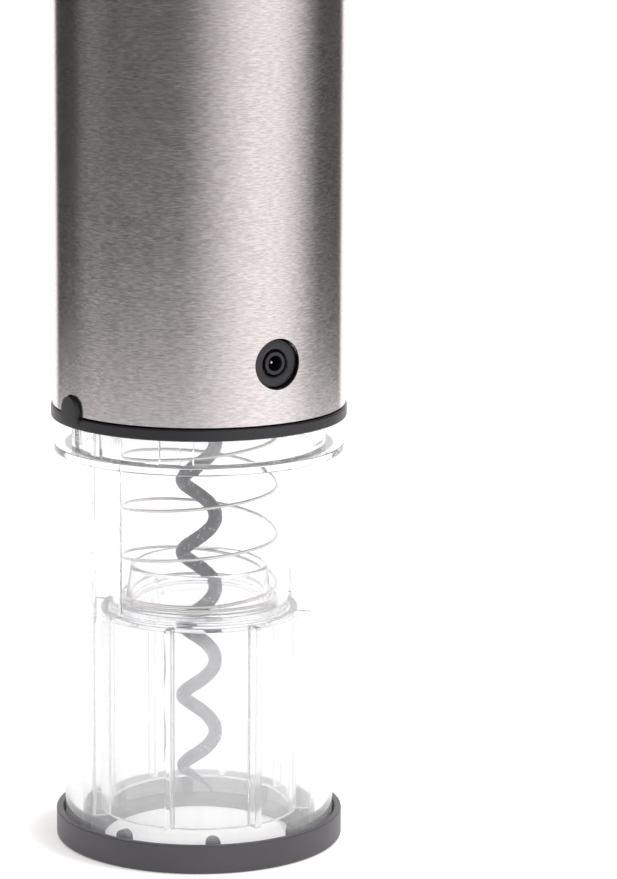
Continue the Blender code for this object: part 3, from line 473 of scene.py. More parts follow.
class Nodes:
    """A node tree, with short ways to add nodes and to join them."""

    def __init__(self, tree: bpy.types.NodeTree) -> None:
        """Wraps a tree."""
        self.tree = tree

    def add(self, kind: str, **settings: object) -> bpy.types.Node:
        """Adds a node.

        Args:
            kind: Its type.
            **settings: The node's own settings by name.

        Returns:
            The new node.
        """
        node = self.tree.nodes.new(kind)
        for name, value in settings.items():
            setattr(node, name, value)
        return node

    def link(self, source: Socket, target: Socket) -> None:
        """Joins an output to an input."""
        self.tree.links.new(source, target)

    def maths(self, operation: str, first: Socket, second: Socket | float, clamp: bool = False) -> Socket:
        """Works out a value from one value and a second one or a number.

        Args:
            operation: The Math node's operation.
            first: The first value.
            second: The second value, or a number.
            clamp: Whether the result is kept between 0 and 1.

        Returns:
            The result.
        """
        node = self.add("ShaderNodeMath", operation=operation, use_clamp=clamp)
        self.link(first, node.inputs[0])
        if isinstance(second, bpy.types.NodeSocket):
            self.link(second, node.inputs[1])
        else:
            node.inputs[1].default_value = second
        return node.outputs[0]

    def split(self, vector: Socket) -> tuple[Socket, Socket, Socket]:
        """Splits a vector.

        Args:
            vector: The vector.

        Returns:
            Its X, Y and Z.
        """
        node = self.add("ShaderNodeSeparateXYZ")
        self.link(vector, node.inputs["Vector"])
        return tuple(node.outputs)

    def spread(self, value: Socket, low: float, high: float, start: float = 0.3, end: float = 0.7) -> Socket:
        """Spreads a value over a range.

        Args:
            value: The value.
            low: What it becomes at start.
            high: What it becomes at end.
            start: Where the spread begins.
            end: Where it ends.

        Returns:
            The spread value.
        """
        node = self.add("ShaderNodeMapRange")
        for name, number in (("From Min", start), ("From Max", end), ("To Min", low), ("To Max", high)):
            node.inputs[name].default_value = number
        self.link(value, node.inputs["Value"])
        return node.outputs["Result"]

    def tint(self, value: Socket, stops: Iterable[tuple[float, Colour]], ease: bool = False) -> Socket:
        """Colours a value through a ramp.

        Args:
            value: The value.
            stops: The place and colour of each stop, in order.
            ease: Whether the colours change slowly near each stop.

        Returns:
            The colour.
        """
        node = self.add("ShaderNodeValToRGB")
        ramp = node.color_ramp
        ramp.interpolation = "EASE" if ease else "LINEAR"
        for index, (where, colour) in enumerate(stops):
            stop = ramp.elements[index] if index < 2 else ramp.elements.new(where)
            stop.position = where
            stop.color = (*colour, 1)
        self.link(value, node.inputs["Fac"])
        return node.outputs["Color"]

    def mixed(self, share: Socket, first: Socket | Colour, second: Socket | Colour) -> Socket:
        """Mixes two colours.

        Args:
            share: How much of the second there is.
            first: The first colour.
            second: The second colour.

        Returns:
            The mixed colour.
        """
        node = self.add("ShaderNodeMix", data_type="RGBA")
        self.link(share, node.inputs["Factor"])
        for colour, socket in ((first, node.inputs[6]), (second, node.inputs[7])):
            if isinstance(colour, bpy.types.NodeSocket):
                self.link(colour, socket)
            else:
                socket.default_value = (*colour, 1)
        return node.outputs[2]


class Graph(Nodes):
    """The nodes of one material, round a Principled shader."""

    def __init__(self, name: str) -> None:
        """Starts a material of that name."""
        self.material = bpy.data.materials.new(name)
        self.material.use_nodes = True
        super().__init__(self.material.node_tree)
        self.shader = self.tree.nodes["Principled BSDF"]
        self.output = self.tree.nodes["Material Output"]
        self.place = self.add("ShaderNodeTexCoord").outputs["Object"]

    def set(self, **values: object) -> None:
        """Sets inputs of the shader by name, with underscores for spaces."""
        for name, value in values.items():
            self.shader.inputs[name.replace("_", " ")].default_value = value

    def drive(self, name: str, value: Socket) -> None:
        """Joins a value to an input of the shader by name."""
        self.link(value, self.shader.inputs[name])

    def noise(self, scale: Sequence[float], detail: float = 3, rough: float = 0.5) -> Socket:
        """Noise on object coordinates.

        Args:
            scale: How many features there are in a metre along X, Y and Z.
            detail: How many finer layers it has.
            rough: How strong those are.

        Returns:
            The noise's value.
        """
        mapping = self.add("ShaderNodeMapping")
        mapping.inputs["Scale"].default_value = scale
        self.link(self.place, mapping.inputs["Vector"])
        noise = self.add("ShaderNodeTexNoise")
        noise.inputs["Scale"].default_value = 1.0
        noise.inputs["Detail"].default_value = detail
        noise.inputs["Roughness"].default_value = rough
        self.link(mapping.outputs["Vector"], noise.inputs["Vector"])
        return noise.outputs["Fac"]

    def cells(self, scale: float) -> Socket:
        """Scattered spots.

        Args:
            scale: How many there are in a metre.

        Returns:
            The distance to the nearest one.
        """
        cells = self.add("ShaderNodeTexVoronoi")
        cells.inputs["Scale"].default_value = scale
        self.link(self.place, cells.inputs["Vector"])
        return cells.outputs["Distance"]

    def bump(self, height: Socket, strength: float, depth: float) -> None:
        """Raises the surface by a height map, on top of any bump that is there.

        Args:
            height: The height map, from 0 to 1.
            strength: How strongly it acts.
            depth: How far 1 is raised.
        """
        node = self.add("ShaderNodeBump")
        node.inputs["Strength"].default_value = strength
        node.inputs["Distance"].default_value = depth
        self.link(height, node.inputs["Height"])
        target = self.shader.inputs["Normal"]
        if target.is_linked:
            self.link(target.links[0].from_socket, node.inputs["Normal"])
        self.link(node.outputs["Normal"], target)


def shaded(colour: Colour, share: float, most: float = 1.0) -> Colour:
    """A colour made lighter or darker by a share, up to a limit."""
    return tuple(min(most, part * share) for part in colour)


@dataclass(frozen=True)
class BrushedSteel:
    """Stainless steel brushed round the body, so that its grain lies level."""

    name: str
    colour: Colour
    roughness: float
    anisotropy: float
    grain: Scale = (800, 800, 4600)
    bands: Scale = (90, 90, 1400)
    wear: Scale = (220, 220, 220)
    contrast: tuple[float, float] = (0.8, 1.15)

    def material(self) -> bpy.types.Material:
        """The finish as a material.

        Returns:
            The new material.
        """
        graph = Graph(self.name)
        graph.set(Metallic=1.0, Anisotropic=self.anisotropy, Anisotropic_Rotation=0.25)
        grain = graph.noise(self.grain, detail=3, rough=0.6)
        broad = graph.noise(self.bands, detail=2)
        wear = graph.noise(self.wear, detail=3)
        dark, light = self.contrast
        stops = [(0.33, shaded(self.colour, dark)), (0.67, shaded(self.colour, light))]
        graph.drive("Base Color", graph.tint(grain, stops))
        brushed = graph.spread(broad, self.roughness - 0.005, self.roughness + 0.01)
        rough = graph.maths("ADD", graph.spread(grain, -0.02, 0.02), brushed)
        graph.drive("Roughness", graph.maths("ADD", rough, graph.spread(wear, -0.01, 0.01)))
        graph.bump(grain, 0.06, 0.01 * MM)
        tangent = graph.add("ShaderNodeTangent", direction_type="RADIAL", axis="Z")
        graph.drive("Tangent", tangent.outputs["Tangent"])
        return graph.material


@dataclass(frozen=True)
class MouldedPlastic:
    """Opaque moulded plastic with a fine spark-eroded grain."""

    name: str
    colour: Colour
    roughness: float
    grain: Scale = (5200, 5200, 5200)
    clouds: Scale = (140, 140, 140)
    depth: float = 0.012 * MM
    mottle: float = 0.1

    def material(self) -> bpy.types.Material:
        """The finish as a material.

        Returns:
            The new material.
        """
        graph = Graph(self.name)
        graph.set(IOR=1.5)
        fine = graph.noise(self.grain, detail=2, rough=0.6)
        broad = graph.noise(self.clouds, detail=3)
        stops = [(0.3, shaded(self.colour, 1 - self.mottle)), (0.7, shaded(self.colour, 1 + self.mottle))]
        graph.drive("Base Color", graph.tint(broad, stops))
        polish = graph.spread(broad, self.roughness - 0.03, self.roughness + 0.04)
        graph.drive("Roughness", graph.maths("ADD", graph.spread(fine, -0.03, 0.03), polish))
        graph.bump(fine, 0.5, self.depth)
        return graph.material


@dataclass(frozen=True)
class ClearPlastic:
    """Clear moulded plastic with faint upright flow lines, a little milky towards its foot and its neck.

    Light passes through to what it shades.
    """

    name: str
    colour: Colour
    roughness: float
    index: float = 1.5
    flow: float = 0.02
    flow_lines: Scale = (420, 420, 14)
    clouds: Scale = (90, 90, 60)
    shadow: Colour = (0.96, 0.96, 0.965)
    clear: float = 0.97
    milky: float = 0.9
    foot: float = 41 * MM
    neck: float = 70 * MM

    def material(self) -> bpy.types.Material:
        """The finish as a material.

        Returns:
            The new material.
        """
        graph = Graph(self.name)
        graph.set(IOR=self.index)
        flow = graph.noise(self.flow_lines, detail=2)
        height = graph.split(graph.place)[2]
        low = graph.spread(height, self.milky, self.clear, self.foot - 3 * MM, self.foot + MM)
        high = graph.spread(height, self.clear, self.milky, self.neck - MM, self.neck + MM)
        least = graph.maths("MINIMUM", low, high)
        streaked = graph.maths("ADD", least, graph.spread(flow, -0.02, 0.02), clamp=True)
        graph.drive("Transmission Weight", streaked)
        haze = graph.noise(self.clouds, detail=2)
        stops = [(0.3, shaded(self.colour, 0.985)), (0.7, self.colour)]
        graph.drive("Base Color", graph.tint(haze, stops))
        graph.drive("Roughness", graph.spread(haze, self.roughness, self.roughness + 0.02))
        graph.bump(flow, self.flow, 0.4 * MM)
        through = graph.add("ShaderNodeBsdfTransparent")
        through.inputs["Color"].default_value = (*self.shadow, 1)
        path = graph.add("ShaderNodeLightPath")
        mix = graph.add("ShaderNodeMixShader")
        graph.link(path.outputs["Is Shadow Ray"], mix.inputs["Fac"])
        graph.link(graph.shader.outputs["BSDF"], mix.inputs[1])
        graph.link(through.outputs["BSDF"], mix.inputs[2])
        graph.link(mix.outputs["Shader"], graph.output.inputs["Surface"])
        return graph.material


@dataclass(frozen=True)
class SpeckledCoat:
    """Dark non-stick coating, with pale specks and a dusty grain."""

    name: str
    colour: Colour
    speck: Colour
    roughness: float
    speck_scale: float = 1500.0
    clouds: Scale = (500, 500, 500)
    pits: Scale = (3800, 3800, 3800)

    def material(self) -> bpy.types.Material:
        """The finish as a material.

        Returns:
            The new material.
        """
        graph = Graph(self.name)
        graph.set(IOR=1.45)
        broad = graph.noise(self.clouds, detail=4, rough=0.6)
        specks = graph.cells(self.speck_scale)
        ground = graph.tint(broad, [(0.3, shaded(self.colour, 0.75)), (0.7, shaded(self.colour, 1.35))])
        mask = graph.spread(specks, 1.0, 0.0, 0.1, 0.26)
        graph.drive("Base Color", graph.mixed(mask, ground, self.speck))
        graph.drive("Roughness", graph.spread(broad, self.roughness - 0.05, self.roughness + 0.07))
        graph.bump(graph.noise(self.pits, detail=2), 0.4, 0.02 * MM)
        return graph.material


@dataclass(frozen=True)
class WorkedMetal:
    """Bare metal, drawn, cast, sintered or machined as its grain says."""

    name: str
    colour: Colour
    roughness: float
    grain: Scale = (900, 900, 900)
    depth: float = 0.006 * MM
    clouds: Scale = (180, 180, 180)
    metallic: float = 1.0

    def material(self) -> bpy.types.Material:
        """The finish as a material.

        Returns:
            The new material.
        """
        graph = Graph(self.name)
        graph.set(Metallic=self.metallic)
        grain = graph.noise(self.grain, detail=4, rough=0.6)
        broad = graph.noise(self.clouds, detail=3)
        stops = [(0.3, shaded(self.colour, 0.84)), (0.7, shaded(self.colour, 1.1))]
        graph.drive("Base Color", graph.tint(broad, stops))
        graph.drive("Roughness", graph.spread(grain, self.roughness - 0.05, self.roughness + 0.08))
        graph.bump(grain, 0.5, self.depth)
        return graph.material


@dataclass(frozen=True)
class SolderMask:
    """Green lacquer over a circuit board's weave and copper."""

    name: str
    colour: Colour
    copper: Colour

    def material(self) -> bpy.types.Material:
        """The finish as a material.

        Returns:
            The new material.
        """
        graph = Graph(self.name)
        graph.set(Roughness=0.32, Coat_Weight=0.4)
        tracks = graph.add("ShaderNodeTexBrick")
        tracks.inputs["Scale"].default_value = 260.0
        tracks.inputs["Mortar Size"].default_value = 0.06
        tracks.inputs["Color1"].default_value = (*self.colour, 1)
        tracks.inputs["Color2"].default_value = (*shaded(self.colour, 0.8), 1)
        tracks.inputs["Mortar"].default_value = (*self.copper, 1)
        swap = graph.add("ShaderNodeMapping")
        swap.inputs["Rotation"].default_value = (math.pi / 2, 0, 0)
        graph.link(graph.place, swap.inputs["Vector"])
        graph.link(swap.outputs["Vector"], tracks.inputs["Vector"])
        graph.drive("Base Color", tracks.outputs["Color"])
        graph.bump(tracks.outputs["Fac"], 0.4, 0.03 * MM)
        return graph.material


FINISHES = {
    "sleeve_steel": BrushedSteel("brushed_sleeve_steel", (0.66, 0.625, 0.625), 0.2, 0.7),
    "black_plastic": MouldedPlastic("satin_black_plastic", (0.009, 0.008, 0.011), 0.36),
    "base_plastic": MouldedPlastic("base_black_plastic", (0.05, 0.047, 0.055), 0.42),
    "clear_plastic": ClearPlastic("clear_plastic", (0.995, 0.995, 1.0), 0.0, index=1.47, clear=1.02),
    "collar_plastic": ClearPlastic("collar_plastic", (0.995, 0.995, 1.0), 0.0, index=1.49, clear=0.95),
    "coated_steel": SpeckledCoat("speckled_worm_coat", (0.03, 0.034, 0.058), (0.6, 0.62, 0.68), 0.4),
    "spring_steel": WorkedMetal("drawn_spring_wire", (0.62, 0.6, 0.58), 0.2, (1200, 1200, 1200)),
    "zinc": WorkedMetal("zinc", (0.56, 0.57, 0.59), 0.38, (1500, 1500, 1500)),
    "sintered_steel": WorkedMetal("sintered_steel", (0.33, 0.33, 0.35), 0.5, (3200, 3200, 3200), 0.02 * MM),
    "brass": WorkedMetal("machined_brass", (0.76, 0.57, 0.27), 0.28, (300, 300, 4200)),
    "white_plastic": MouldedPlastic("white_plastic", (0.8, 0.8, 0.78), 0.45, mottle=0.03),
    "board": SolderMask("solder_mask", (0.02, 0.16, 0.06), (0.09, 0.3, 0.1)),
    "cell_wrap": WorkedMetal("shrink_wrapped_cell", (0.06, 0.26, 0.13), 0.3, (700, 700, 60), metallic=0.3),
    "motor_steel": WorkedMetal("motor_steel", (0.66, 0.65, 0.62), 0.3, (500, 500, 2600)),
    "switch_metal": WorkedMetal("switch_metal", (0.7, 0.69, 0.66), 0.24, (1800, 1800, 1800)),
}
MATERIALS: dict[str, bpy.types.Material] = {}


def finish(name: str) -> bpy.types.Material:
    """The material of a finish, made once.

    Args:
        name: Its key in FINISHES.

    Returns:
        The material.
    """
    if name not in MATERIALS:
        MATERIALS[name] = FINISHES[name].material()
    return MATERIALS[name]


def dress(obj: Piece, finish_name: str, body: str, *nodes: str, slot: str | None = None) -> Piece:
    """Gives a finished piece its finish, its body and the CAD nodes that it stands for.

    Args:
        obj: The piece, in place, which is remade unless it has normals of its own.
        finish_name: Its key in FINISHES.
        body: The CAD body that it moves with.
        *nodes: The CAD nodes that it replaces.
        slot: Not used.

    Returns:
        The dressed piece.
    """
    if not obj.data.has_custom_normals:
        obj = weighed(obj)
    obj.data.materials.clear()
    obj.data.materials.append(finish(finish_name))
    for face in obj.data.polygons:
        face.material_index = 0
    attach(obj, body)
    if nodes:
        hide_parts(*nodes)
    LOG.info("%s: %d faces, on %s", obj.name, len(obj.data.polygons), body)
    return obj


# ---------------------------------------------------------------------------------------------
# Sub-assemblies
# ---------------------------------------------------------------------------------------------


@dataclass
class Handle:
    """The brushed sleeve and the black trim ring with its two index tabs."""

    wall: float = SLEEVE_WALL
    tab_width: float = 4.8 * MM
    tab_proud: float = 0.4 * MM
    band: float = 2.0 * MM
    collar_radius: float = 24.1 * MM
    trim_bore: float = 22.6 * MM
    sleeve: tuple[Vector, Vector] = field(default_factory=lambda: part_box("steel_sleeve"))
    trim: tuple[Vector, Vector] = field(default_factory=lambda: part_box("trim_ring"))

    def tabs(self, half: float, inner: float, outer: float, bottom: float) -> list[Shape]:
        """A round-topped tab on each side.

        Args:
            half: Half a tab's width.
            inner: The radius where it starts.
            outer: The radius where it ends.
            bottom: The height of its foot.

        Returns:
            The two shapes.
        """
        centre = self.trim[1].z - self.tab_width / 2
        shapes = []
        for side in (-1, 1):
            shape = bmesh.new()
            bmesh.ops.create_circle(shape, cap_ends=True, segments=48, radius=half)
            lower = [vert for vert in shape.verts if vert.co.y < -half / 100]
            for vert in lower:
                vert.co.y = bottom - centre
            extruded = bmesh.ops.extrude_face_region(shape, geom=shape.faces[:])
            raised = [item for item in extruded["geom"] if isinstance(item, bmesh.types.BMVert)]
            bmesh.ops.translate(shape, verts=raised, vec=(0, 0, outer - inner))
            stand = Matrix(((0, 0, side, side * inner), (1, 0, 0, 0), (0, 1, 0, centre), (0, 0, 0, 1)))
            bmesh.ops.transform(shape, matrix=stand, verts=shape.verts[:])
            shapes.append(tidy(shape))
        return shapes

    def build_sleeve(self) -> Piece:
        """The steel tube with its window, its jack hole and a notch for each tab.

        Returns:
            The finished piece.
        """
        low, high = self.sleeve
        radius, bore = high.x, high.x - self.wall
        profile = [(radius, high.z), (radius, low.z), (bore, low.z), (bore, high.z)]
        obj = as_object("sleeve_shell", turn(profile, FINE_STEPS))
        panel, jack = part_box("switch_panel"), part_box("jack_bezel")
        window = stadium(
            panel[1].x - panel[0].x + 2 * GAP,
            panel[1].z - panel[0].z + 2 * GAP,
            (panel[0].z + panel[1].z) / 2,
            radius - 3 * MM,
            radius + MM,
        )
        centre = (0, radius, (jack[0].z + jack[1].z) / 2)
        hole = rod((jack[1].x - jack[0].x) / 2 + GAP, 6 * MM, centre, 64)
        notches = self.tabs(self.tab_width / 2 + GAP, bore - MM, radius + MM, low.z - MM)
        obj = combine(obj, Work.CUT, window, hole, *notches)
        return shade_round(soften(obj, 0.12 * MM))

    def build_trim(self) -> Piece:
        """The ring: a proud band below, a collar up inside the sleeve and the tabs.

        Returns:
            The finished piece.
        """
        low, high = self.trim
        band_top = low.z + self.band
        radius = high.x - self.tab_proud
        profile = [
            (self.collar_radius, high.z),
            (self.collar_radius, band_top),
            (radius, band_top),
            (radius, low.z),
            (self.trim_bore, low.z),
            (self.trim_bore, high.z),
        ]
        obj = as_object("trim_band", round_edges(turn(profile), 0.25 * MM))
        tabs = self.tabs(self.tab_width / 2, self.trim_bore + 0.5 * MM, high.x, band_top - MM)
        return shade_round(soften(combine(obj, Work.JOIN, *tabs), 0.15 * MM))

    def make(self) -> None:
        """Builds and dresses both pieces."""
        dress(self.build_sleeve(), "sleeve_steel", "body", "steel_sleeve")
        dress(self.build_trim(), "black_plastic", "body", "trim_ring")


@dataclass
class ClearCover:
    """The clear housing, the bottle guide inside it, the base ring and the spring's retainer."""

    wall: float = 3.0 * MM
    draft: float = 0.4 * MM
    flange: float = 1.3 * MM
    flange_top: float = 69.9 * MM
    neck_radius: float = 21.7 * MM
    neck_wall: float = 1.7 * MM
    neck_step: float = 1.2 * MM
    key_azimuths: tuple[float, ...] = (76, 97, 128, 143, 256, 277, 308, 323)
    key_width: float = 2.4 * MM
    key_proud: float = 0.6 * MM
    cover_inset: float = 1.95 * MM
    guide_bore: float = 14.05 * MM
    guide_radius: float = 15.35 * MM
    neck_bore: float = 15.8 * MM
    guide_wall: float = 1.3 * MM
    shelf_height: float = 40.1 * MM
    shelf: float = 1.4 * MM
    cork_hole: float = 11.8 * MM
    rib_width: float = 1.2 * MM
    rib_count: int = 8
    rib_start: float = 43
    base_wall: float = 1.2 * MM
    base_floor: float = 1.3 * MM
    base_lip: float = 16.5 * MM
    base_top: float = 5.0 * MM
    base_edge: float = 0.4 * MM
    peg_count: int = 8
    peg_start: float = 20.1
    peg_width: float = 2.4 * MM
    peg_thick: float = 1.1 * MM
    housing: tuple[Vector, Vector] = field(default_factory=lambda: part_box("clear_housing"))
    guide: tuple[Vector, Vector] = field(default_factory=lambda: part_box("bottle_guide"))
    base: tuple[Vector, Vector] = field(default_factory=lambda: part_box("base_ring"))
    retainer: tuple[Vector, Vector] = field(default_factory=lambda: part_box("spring_retainer"))

    def __post_init__(self) -> None:
        """Works out the radii that several pieces share."""
        self.flange_radius = self.housing[1].x
        self.radius = self.flange_radius - self.cover_inset
        self.foot_radius = self.radius + self.draft
        self.foot_bore = self.foot_radius - self.wall
        self.bore = self.radius - self.wall

    def build_housing(self) -> Piece:
        """The drafted outer tube, its flange and the keyed neck.

        Returns:
            The finished piece.
        """
        low, high = self.housing
        inner_neck = self.neck_radius - self.neck_wall
        flange_bottom = self.flange_top - self.flange
        profile = [
            (self.neck_radius, high.z),
            (self.neck_radius, self.flange_top),
            (self.flange_radius, self.flange_top),
            (self.flange_radius, flange_bottom),
            (self.radius, flange_bottom),
            (self.foot_radius, low.z),
            (self.foot_bore, low.z),
            (self.bore, flange_bottom - self.neck_step),
            (inner_neck, self.flange_top),
            (inner_neck, high.z),
        ]
        obj = as_object("cover_shell", round_edges(turn(profile, FINE_STEPS), 0.14 * MM, 3))
        inner, outer = self.neck_radius - self.neck_wall / 2, self.neck_radius + self.key_proud
        keys = [
            fin(azimuth, inner, outer, self.key_width, self.flange_top - GAP, high.z - MM, 0.25 * MM)
            for azimuth in self.key_azimuths
        ]
        return combine(obj, Work.JOIN, *keys)

    def build_guide(self) -> Piece:
        """The inner tube: a wide bore below, a stop shelf, a narrower bore above and its ribs.

        Returns:
            The finished piece.
        """
        low, high = self.guide
        foot_radius = self.neck_bore + self.guide_wall
        shelf_top = self.shelf_height + self.shelf
        profile = [
            (self.guide_radius, high.z),
            (self.guide_radius, shelf_top),
            (foot_radius, shelf_top),
            (foot_radius, low.z),
            (self.neck_bore, low.z),
            (self.neck_bore, self.shelf_height),
            (self.cork_hole, self.shelf_height),
            (self.cork_hole, shelf_top),
            (self.guide_bore, shelf_top),
            (self.guide_bore, high.z),
        ]
        obj = as_object("guide_tube", round_edges(turn(profile, 160), 0.16 * MM, 3))
        ribs = [
            fin(
                self.rib_start + 360 * index / self.rib_count,
                foot_radius - self.guide_wall / 2,
                self.bore - GAP,
                self.rib_width,
                low.z + GAP,
                shelf_top - GAP,
                0.25 * MM,
            )
            for index in range(self.rib_count)
        ]
        reach = self.neck_radius - self.neck_wall - GAP
        ribs += [
            fin(
                azimuth,
                self.guide_radius - self.guide_wall / 2,
                reach,
                self.rib_width,
                self.shelf_height + GAP,
                high.z - MM,
                0.25 * MM,
            )
            for azimuth in (90, 270)
        ]
        return combine(obj, Work.JOIN, *ribs)

    def peg(self, azimuth: float) -> Shape:
        """A round-topped peg inside the cover's wall.

        Args:
            azimuth: Where it stands.

        Returns:
            The closed shape.
        """
        top, half, outer = self.base[1].z, self.peg_width / 2, self.foot_bore - GAP

        def at_top(edge: bmesh.types.BMEdge) -> bool:
            """Whether an edge runs through the peg's thickness at its top."""
            first, second = (vert.co for vert in edge.verts)
            return min(first.z, second.z) > top - GAP / 3 and abs(first.x - second.x) < GAP / 3

        shape = block((-half, -outer, self.base_floor / 2), (half, -outer + self.peg_thick, top))
        return spun(round_edges(shape, half * 0.95, 6, chosen=at_top), azimuth)

    def build_base(self) -> Piece:
        """The black ring with its inward floor and its pegs.

        Returns:
            The finished piece.
        """
        low = self.base[0]
        wall_bore = self.foot_radius + GAP
        radius = wall_bore + self.base_wall
        profile = [
            (radius, self.base_top),
            (radius, self.base_edge),
            (radius - self.base_edge, low.z),
            (self.base_lip, low.z),
            (self.base_lip, self.base_floor),
            (wall_bore, self.base_floor),
            (wall_bore, self.base_top),
        ]
        obj = as_object("base_band", round_edges(turn(profile, FINE_STEPS), 0.2 * MM, 3))
        pegs = [self.peg(self.peg_start + 360 * index / self.peg_count) for index in range(self.peg_count)]
        return combine(obj, Work.JOIN, *pegs)

    def build_retainer(self) -> Piece:
        """The ring that holds the spring down.

        Returns:
            The finished piece.
        """
        low, high = self.retainer
        profile = [(high.x, high.z), (high.x, low.z), (self.cork_hole, low.z), (self.cork_hole, high.z)]
        return as_object("spring_retainer_ring", round_edges(turn(profile), 0.3 * MM))

    def make(self) -> None:
        """Builds and dresses the pieces."""
        dress(self.build_housing(), "clear_plastic", "cover", "clear_housing")
        dress(self.build_guide(), "clear_plastic", "cover", "bottle_guide")
        dress(self.build_base(), "base_plastic", "cover", "base_ring", slot="black_plastic")
        dress(self.build_retainer(), "white_plastic", "cover", "spring_retainer")


@dataclass
class CorkGuide:
    """The sprung clear collar that steadies the cork, and its spring."""

    radius: float = 12.7 * MM
    taper: float = 0.8 * MM
    wall: float = 0.9 * MM
    flange: float = 0.8 * MM
    edge: float = 0.5 * MM
    wire: float = 0.55 * MM
    turns: float = 3.75
    rest_turns: float = 1.3
    start: float = 53
    lift: float = 18.0 * MM
    steps: int = 48
    collar: tuple[Vector, Vector] = field(default_factory=lambda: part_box("cork_guide"))
    spring: tuple[Vector, Vector] = field(default_factory=lambda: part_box("guide_spring"))

    def build_collar(self) -> Piece:
        """The conical collar with its foot flange.

        Returns:
            The finished piece.
        """
        low, high = self.collar
        rim = self.radius - self.taper
        flange_top = low.z + self.flange
        profile = [
            (rim - self.edge / 2, high.z),
            (rim, high.z - self.edge),
            (self.radius, flange_top),
            (high.x, flange_top),
            (high.x, low.z),
            (self.radius - self.wall, low.z),
            (rim - self.wall, high.z),
        ]
        return as_object("cork_collar_ring", round_edges(turn(profile), 0.2 * MM))

    def spring_path(self) -> list[Vector]:
        """Points along the spring: closed end coils with open turns between them.

        Returns:
            The points, from its foot up.
        """
        closed_pitch = self.wire * 1.25
        low, high = self.spring[0].z + self.wire / 2, self.spring[1].z - self.wire / 2
        radius = self.collar[1].x - self.wire / 2
        low_closed, high_closed = low + closed_pitch * self.rest_turns, high - closed_pitch
        turns = self.rest_turns + self.turns + 1
        count = round(turns * self.steps)
        path = []
        for index in range(count + 1):
            at = turns * index / count
            if at < self.rest_turns:
                height = low + closed_pitch * at
            elif at < self.rest_turns + self.turns:
                height = low_closed + (high_closed - low_closed) * (at - self.rest_turns) / self.turns
            else:
                height = high - closed_pitch * (turns - at)
            path.append(Vector((*polar(self.start + 360 * at, radius), height)))
        return path

    def make(self) -> None:
        """Builds and dresses both pieces."""
        dress(self.build_collar(), "collar_plastic", "cork_collar", "cork_guide", slot="clear_plastic")
        spring = tube("coil_spring", self.spring_path(), self.wire / 2)
        spring = dress(spring, "spring_steel", "cover", "guide_spring")
        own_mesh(spring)


@dataclass
class WormDrive:
    """The helical worm and the chuck that drives it."""

    radius: float = 2.85 * MM
    wire: float = 2.4 * MM
    pitch: float = 12.7 * MM
    turn_angle: float = -41.6
    turn_height: float = 62.8 * MM
    taper: float = 9.0 * MM
    point: float = 0.06
    steps: int = 48
    bore: float = 3.15 * MM
    shank_bore: float = 1.35 * MM
    chuck_edge: float = 1.0 * MM
    worm: tuple[Vector, Vector] = field(default_factory=lambda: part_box("worm"))
    chuck: tuple[Vector, Vector] = field(default_factory=lambda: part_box("worm_chuck"))

    def build_worm(self) -> Piece:
        """The helix, pointed at its tip and bent to the axis at its top.

        Returns:
            The finished piece.
        """
        tip, socket = self.worm[0].z, self.worm[1].z
        shank = self.chuck[0].z - self.wire / 4
        bend = self.pitch / 3
        count = round((shank - tip) / self.pitch * self.steps)
        path, shares = [], []
        for index in range(count + 1):
            height = tip + (shank - tip) * index / count
            angle = math.radians(self.turn_angle) + math.tau * (height - self.turn_height) / self.pitch
            bent = min(1.0, max(0.0, (height - shank + bend) / bend))
            radius = self.radius * (1 - bent * bent * (3 - 2 * bent))
            path.append(Vector((radius * math.cos(angle), radius * math.sin(angle), height)))
            along = min(1.0, (height - tip) / self.taper)
            shares.append(self.point + (1 - self.point) * math.sin(along * math.pi / 2))
        path.append(Vector((0, 0, socket)))
        shares.append(1.0)
        return tube("helical_worm", path, self.wire / 2, shares)

    def build_chuck(self) -> Piece:
        """The round chuck, with a socket for the shank below and for the output shaft above.

        Returns:
            The finished piece.
        """
        low, high = self.chuck
        socket = self.worm[1].z + GAP
        profile = [
            (high.x, high.z),
            (high.x, low.z + self.chuck_edge),
            (high.x - self.chuck_edge, low.z),
            (self.shank_bore, low.z),
            (self.shank_bore, socket),
            (self.bore, socket),
            (self.bore, high.z),
        ]
        return as_object("chuck_body", round_edges(turn(profile, MEDIUM_STEPS), 0.2 * MM))

    def make(self) -> None:
        """Builds and dresses both pieces."""
        dress(self.build_worm(), "coated_steel", "worm_drive", "worm")
        dress(self.build_chuck(), "zinc", "worm_drive", "worm_chuck")


